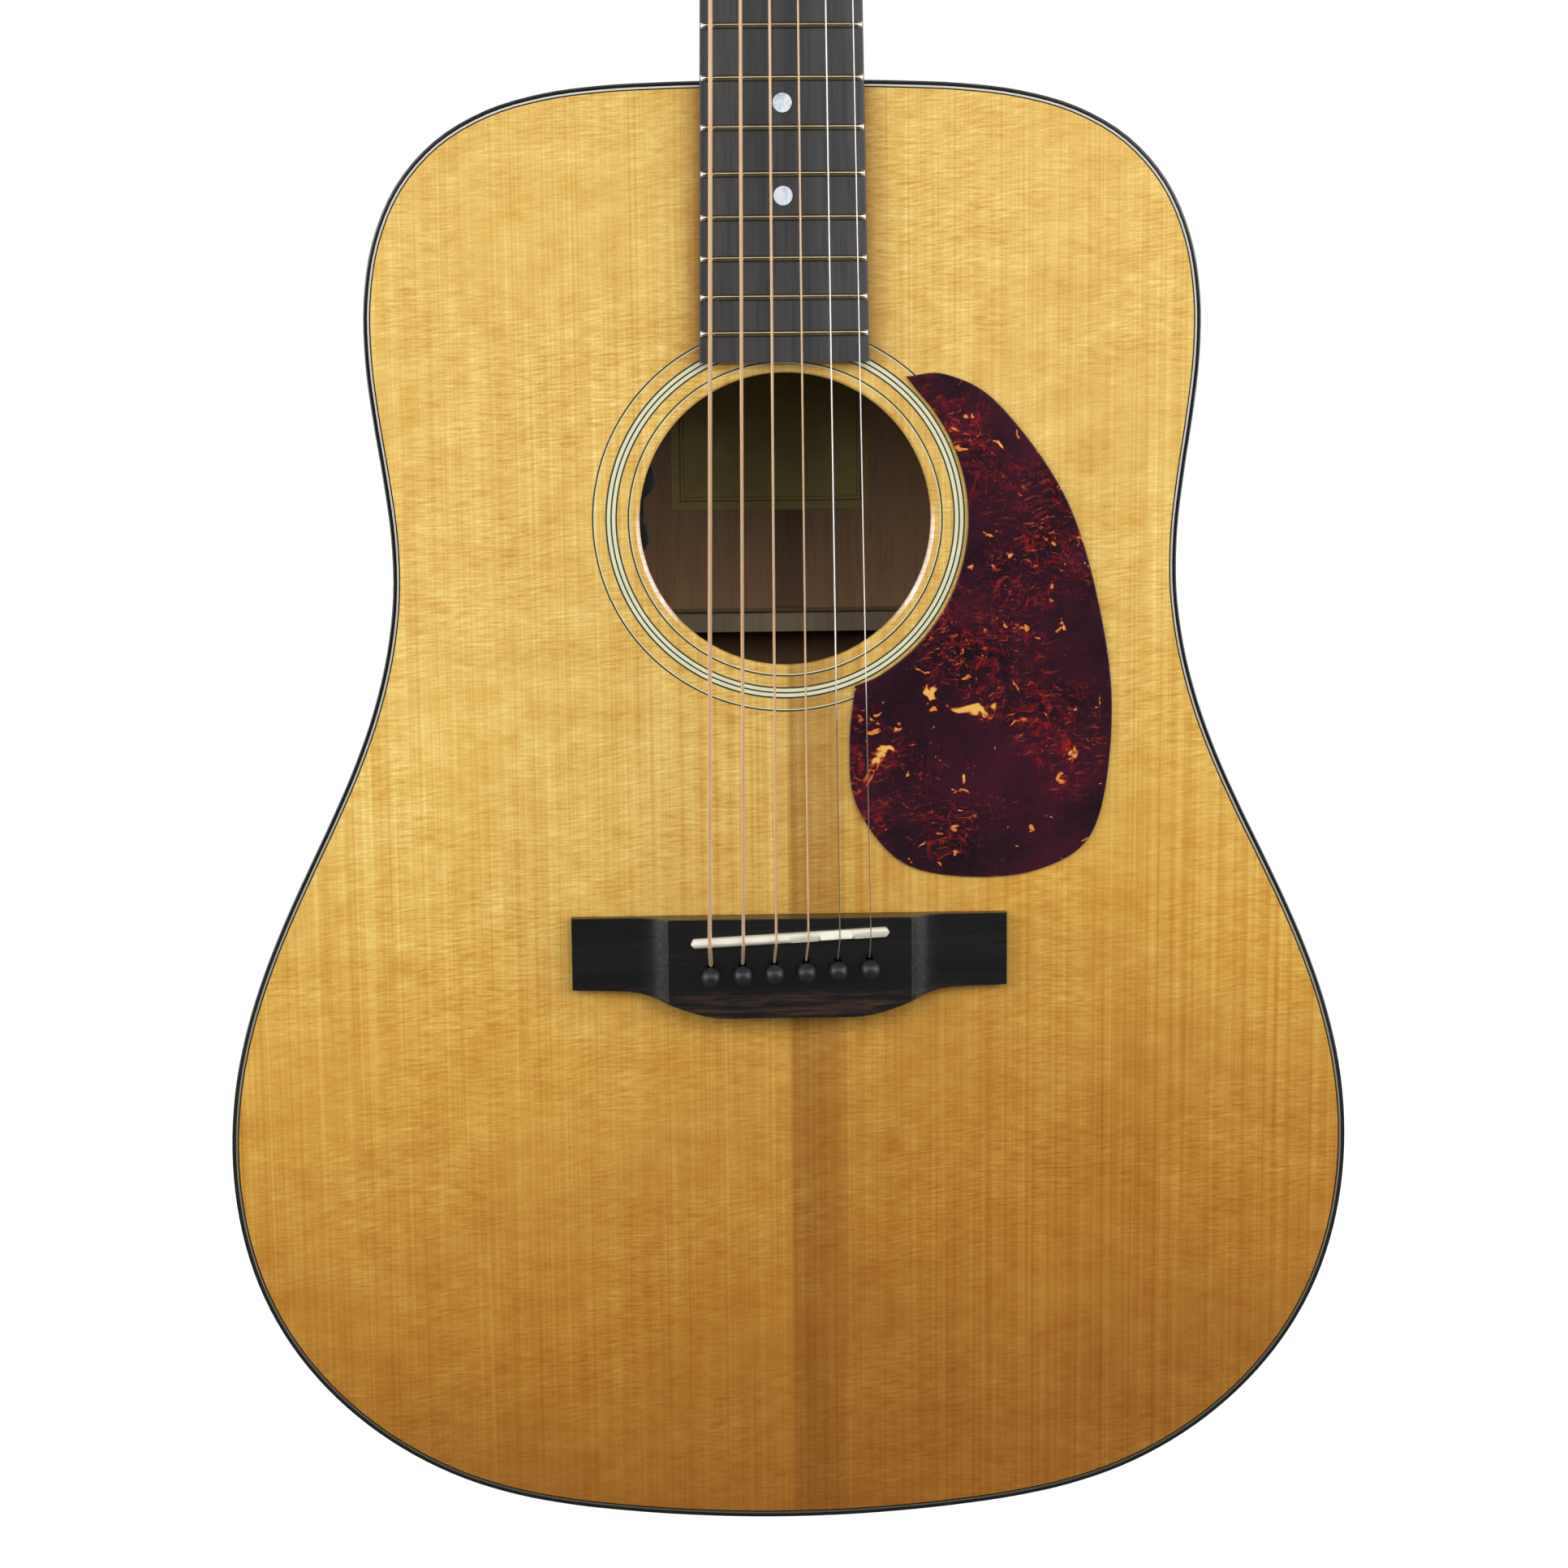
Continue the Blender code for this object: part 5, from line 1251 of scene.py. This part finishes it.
def make_ball_ends():
    """The brass ball at each string's end, under the bridge plate."""
    for number in NUMBERS:
        pin = PIN_MIDDLES[number]
        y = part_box(f"string_{number}")[1].y + BALL_END_DROP
        place = Matrix.Translation((pin.x, y, pin.z + BALL_END_SHIFT))
        piece(f"string_{number}_ball", turned(BALL_END, 20, place), "ball_brass", "bronze_string")


# ---- Neck --------------------------------------------------------------------------------
def fret_z(number):
    return NUT_Z - SCALE_LENGTH * (1 - 2 ** (-number / 12))


def board_half(z):
    """Half the fretboard's width at this height."""
    wide, narrow = (BOARD_HIGH.x - BOARD_LOW.x) / 2, NUT_WIDTH / 2
    return wide + (narrow - wide) * (z - BOARD_LOW.z) / (NUT_Z - BOARD_LOW.z)


def board_y(x):
    """The fretboard's arched face."""
    return BOARD_TOP_Y + x * x / (2 * BOARD_RADIUS)


def make_fretboard():
    """The arched board with rounded long edges."""
    edge = BOARD_EDGE_ROUNDING
    rings = []
    for z in np.linspace(BOARD_LOW.z, BOARD_HIGH.z, 40):
        half = board_half(z)
        rings.append([
            (-half, BOARD_HIGH.y, z),
            *((x, board_y(min(abs(x), half - edge)) + down, z)
              for x, down in rounded_across(-half, half, edge, 4, 16)),
            (half, BOARD_HIGH.y, z),
        ])
    piece("fretboard_ebony", loft(rings), "ebony_along", "ebony", replaces="fretboard")


def make_frets():
    """Crowned fret wire bent to the board's arch, its ends bevelled."""
    wide = FRET_WIDTH / 2
    for number in range(1, FRET_COUNT + 1):
        z = fret_z(number)
        half = board_half(z) - FRET_END_GAP
        ends = [half, half - FRET_END_SLOPE / 2, half - FRET_END_SLOPE]
        middle = np.linspace(-half + 3 * FRET_END_SLOPE, half - 3 * FRET_END_SLOPE, 15)
        rings = []
        for x in sorted([*ends, *(-x for x in ends), *middle]):
            y = board_y(x)
            rise = min(1.0, (half - abs(x)) / FRET_END_SLOPE)
            height = FRET_HEIGHT * (0.12 + 0.88 * math.sin(rise * math.pi / 2) ** 0.8)
            rings.append([
                (x, y + FRET_FOOT, z - wide),
                *((x, y - height * math.sin(t), z + wide * math.cos(t))
                  for t in np.linspace(math.pi, 0, 11)),
                (x, y + FRET_FOOT, z + wide),
            ])
        piece(f"fret_{number:02d}", loft(rings), "fret_nickel", "nickel", sharp=45)


def make_dot(name, radius, steps, place, matrix, finish, slot):
    matrix.translation = place
    profile = [(share * radius, height) for share, height in DOT_PROFILE]
    piece(name, turned(profile, steps, matrix), finish, slot)


def make_dots():
    """Pearl position dots in the board's face, and small ones along its bass side."""
    places = [(0.0, fret, str(fret)) for fret in DOT_FRETS]
    places += [(-DOT_PAIR_OFFSET, 12, "12_bass"), (DOT_PAIR_OFFSET, 12, "12_treble")]
    facing = Matrix.Rotation(math.pi / 2, 4, "X")
    for x, fret, label in places:
        z = (fret_z(fret) + fret_z(fret - 1)) / 2
        make_dot(f"dot_{label}", DOT_RADIUS, 36, (x, board_y(x), z), facing, "pearl", "rosette")
    sideways = Matrix.Rotation(-math.pi / 2, 4, "Y")
    for fret in (3, *DOT_FRETS[:3], 12, *DOT_FRETS[3:]):
        z = (fret_z(fret) + fret_z(fret - 1)) / 2
        place = (-board_half(z), BOARD_HIGH.y - SIDE_DOT_RISE, z)
        make_dot(f"side_dot_{fret}", SIDE_DOT_RADIUS, 20, place, sideways, "line_white", "binding")


# ---- Tuner hardware ----------------------------------------------------------------------
def turned_towards(axis, place):
    """A matrix whose Z points along the axis, at the place."""
    matrix = axis.to_track_quat("Z", "Y").to_matrix().to_4x4()
    matrix.translation = place
    return matrix


def face_height(node, outward):
    """How far along a direction the node's largest flat face in that direction lies."""
    faces = [f for f in nodes[node].data.polygons if f.normal.dot(outward) > 0.99]
    return max(faces, key=lambda face: face.area).center.dot(outward)


def make_bushings():
    """A pressed ring round each post where it comes out of the headstock's face."""
    profile = [
        (POST_HOLE_RADIUS, 0.0), (BUSHING_RADIUS, 0.0), (BUSHING_RADIUS, BUSHING_HEIGHT * 0.4),
        (BUSHING_RADIUS - 0.0004, BUSHING_HEIGHT * 0.62),
        (BUSHING_COLLAR_RADIUS, BUSHING_HEIGHT * 0.7),
        (BUSHING_COLLAR_RADIUS - 0.0002, BUSHING_HEIGHT), (POST_HOLE_RADIUS, BUSHING_HEIGHT),
        (POST_HOLE_RADIUS, 0.0),
    ]
    for joint in POST_JOINTS:
        axis, place = Vector(joint["axis"]), Vector(joint["pos_m"])
        rise = face_height("headstock_veneer", axis) - place.dot(axis)
        mesh = turned(profile, 36, turned_towards(axis, place + axis * rise))
        piece("bushing_" + joint["name"].split("_")[1], mesh, "nickel_polished", "nickel")


def screw_mesh():
    """A small round screw head with a cross slot."""
    radius, height = SCREW_RADIUS, SCREW_HEIGHT
    head = [
        (0.0, height), (radius * 0.5, height * 0.92), (radius * 0.85, height * 0.6),
        (radius, 0.0), (0.0, 0.0),
    ]
    arm, half = radius * 0.62, radius * 0.12
    slots = [
        loft([
            [(-wide, -tall, h), (wide, -tall, h), (wide, tall, h), (-wide, tall, h)]
            for h in (height * 0.45, height * 1.5)
        ])
        for wide, tall in ((arm, half), (half, arm))
    ]
    return carved(turned(head, 24), slots)


def make_plate_screws():
    """A screw at each tuner plate's upper end and between its tuners."""
    screw = screw_mesh()
    for side in ("treble", "bass"):
        plate = f"tuner_plate_{side}"
        low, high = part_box(plate)
        joints = [joint for joint in POST_JOINTS if low.x < joint["pos_m"][0] < high.x]
        outward = -Vector(joints[0]["axis"])
        along = outward.cross(Vector((1, 0, 0))).normalized()
        along = along if along.z > 0 else -along
        heights = sorted(Vector(joint["pos_m"]).dot(along) for joint in joints)
        # The lowest worm shaft leaves no room for a screw at the plate's lower end.
        places = [a + 0.4 * (b - a) for a, b in zip(heights, heights[1:])]
        places.append(max(v.co.dot(along) for v in nodes[plate].data.vertices) - SCREW_EDGE)
        across = Vector((middle_of(plate).x, 0, 0))
        for number, up in enumerate(sorted(places), 1):
            place = across + along * up + outward * face_height(plate, outward)
            mesh = screw.copy()
            mesh.transform(turned_towards(outward, place))
            piece(f"plate_screw_{side}_{number}", mesh, "nickel_polished", "nickel", sharp=30)


# ---- Putting it together -----------------------------------------------------------------
def make_finishes():
    dark, light = srgb(56, 34, 24), srgb(122, 82, 58)
    spruce_finish()
    streaked_wood("brace_pale", srgb(150, 130, 104), srgb(180, 162, 134), 0.60, pores=0.2)
    streaked_wood("spruce_bare", srgb(170, 128, 78), srgb(206, 170, 118), 0.65, pores=0.2)
    streaked_wood("rosewood_flat", dark, light, 0.32, coat=0.3, bare=srgb(178, 139, 105))
    streaked_wood("rosewood_bent", dark, light, 0.32, coat=0.3)
    streaked_wood("mahogany_bare", srgb(124, 94, 71), srgb(152, 119, 90), 0.65, pores=0.2)
    streaked_wood("mahogany_satin", srgb(92, 48, 28), srgb(142, 84, 54), 0.46)
    belly = BRIDGE_LOW.z + BRIDGE_BELLY
    ebony_finish("ebony_across", srgb(7, 7, 8), srgb(19, 16, 15), 0.26, "x", belly)
    ebony_finish("ebony_along", srgb(30, 30, 32), srgb(60, 57, 57), 0.50, "z")
    plain_finish("binding_black", srgb(18, 18, 20), 0.18, coat=0.5, spread=0.15)
    plain_finish("line_white", srgb(206, 200, 186), 0.35, spread=0.05)
    plain_finish("line_black", srgb(16, 15, 14), 0.35, spread=0.15)
    plain_finish("rosette_cream", srgb(222, 218, 184), 0.35, spread=0.04)
    plain_finish("rosette_dark", srgb(48, 62, 50), 0.35)
    plain_finish("bone_ivory", srgb(232, 228, 212), 0.30, spread=0.05, size=300)
    plain_finish("pin_black", srgb(30, 31, 35), 0.42, specular=0.42)
    plain_finish("nickel_polished", srgb(178, 176, 170), 0.26, metallic=1.0)
    plain_finish("rod_steel", srgb(150, 150, 150), 0.40, metallic=1.0)
    plain_finish("ball_brass", srgb(206, 170, 96), 0.30, metallic=1.0)
    plain_finish("preamp_black", srgb(13, 13, 13), 0.60, bumpy=0.2, specular=0.3)
    # Painted shade: the plain strings are painted darker below this height, and painted bright above it.
    painted_dark_below = SOUNDHOLE[1] - 1.15 * SOUNDHOLE_RADIUS
    painted_sheen_finish("steel_string", srgb(255, 255, 252), srgb(108, 98, 84), painted_dark_below)
    wound_finish("bronze_wound", srgb(255, 214, 176), 0.0006)
    purfling_finish()
    tortoise_finish()
    fret_finish()
    post_finish()
    pearl_finish()
    label_finish()


# The CAD nodes that stay: finish, slot, nodes.
KEPT_NODES = (
    ("mahogany_satin", "mahogany", ("neck", "neck_block", "tail_block", "top_lining", "back_lining")),
    ("spruce_bare", "brace_spruce", (
        "x_brace_bass", "x_brace_treble", "transverse_brace", "tone_bar_upper", "tone_bar_lower",
    )),
    ("brace_pale", "mahogany", [f"back_brace_{number}" for number in range(1, 5)]),
    ("rosewood_bent", "rosewood", ("bridge_plate", "headstock_veneer")),
    ("bone_ivory", "bone", ("nut",)),
    ("binding_black", "ebony", ("heel_cap",)),
    ("rod_steel", "rod_steel", ("truss_rod",)),
    ("pin_black", "pin_plastic", ("end_pin",)),
    ("preamp_black", "preamp_black", ("preamp_housing", "volume_wheel", "tone_wheel")),
    ("steel_string", "steel_string", ("string_1", "string_2")),
    ("bronze_wound", "bronze_string", [f"string_{number}" for number in range(3, 7)]),
    ("nickel_polished", "nickel", ("tuner_plate_bass", "tuner_plate_treble", *(
        f"tuner_knob_{number}" for number in NUMBERS
    ))),
    ("tuner_post_metal", "nickel", [f"tuner_post_{number}" for number in NUMBERS]),
)


def main():
    for obj in list(bpy.data.objects):
        if obj.type in ("LIGHT", "CAMERA") or obj.name == "Cube":
            bpy.data.objects.remove(obj)
    make_camera()
    make_world()
    for light in LIGHTS:
        make_light(*light)
    make_floor()
    make_finishes()
    make_edges()
    make_sides()
    make_top()
    make_back()
    make_label()
    make_pickguard()
    make_bridge()
    make_saddle()
    make_pins()
    make_ball_ends()
    make_fretboard()
    make_frets()
    make_dots()
    make_bushings()
    make_plate_screws()
    for finish, slot, kept in KEPT_NODES:
        for node in kept:
            dress(node, finish)


main()
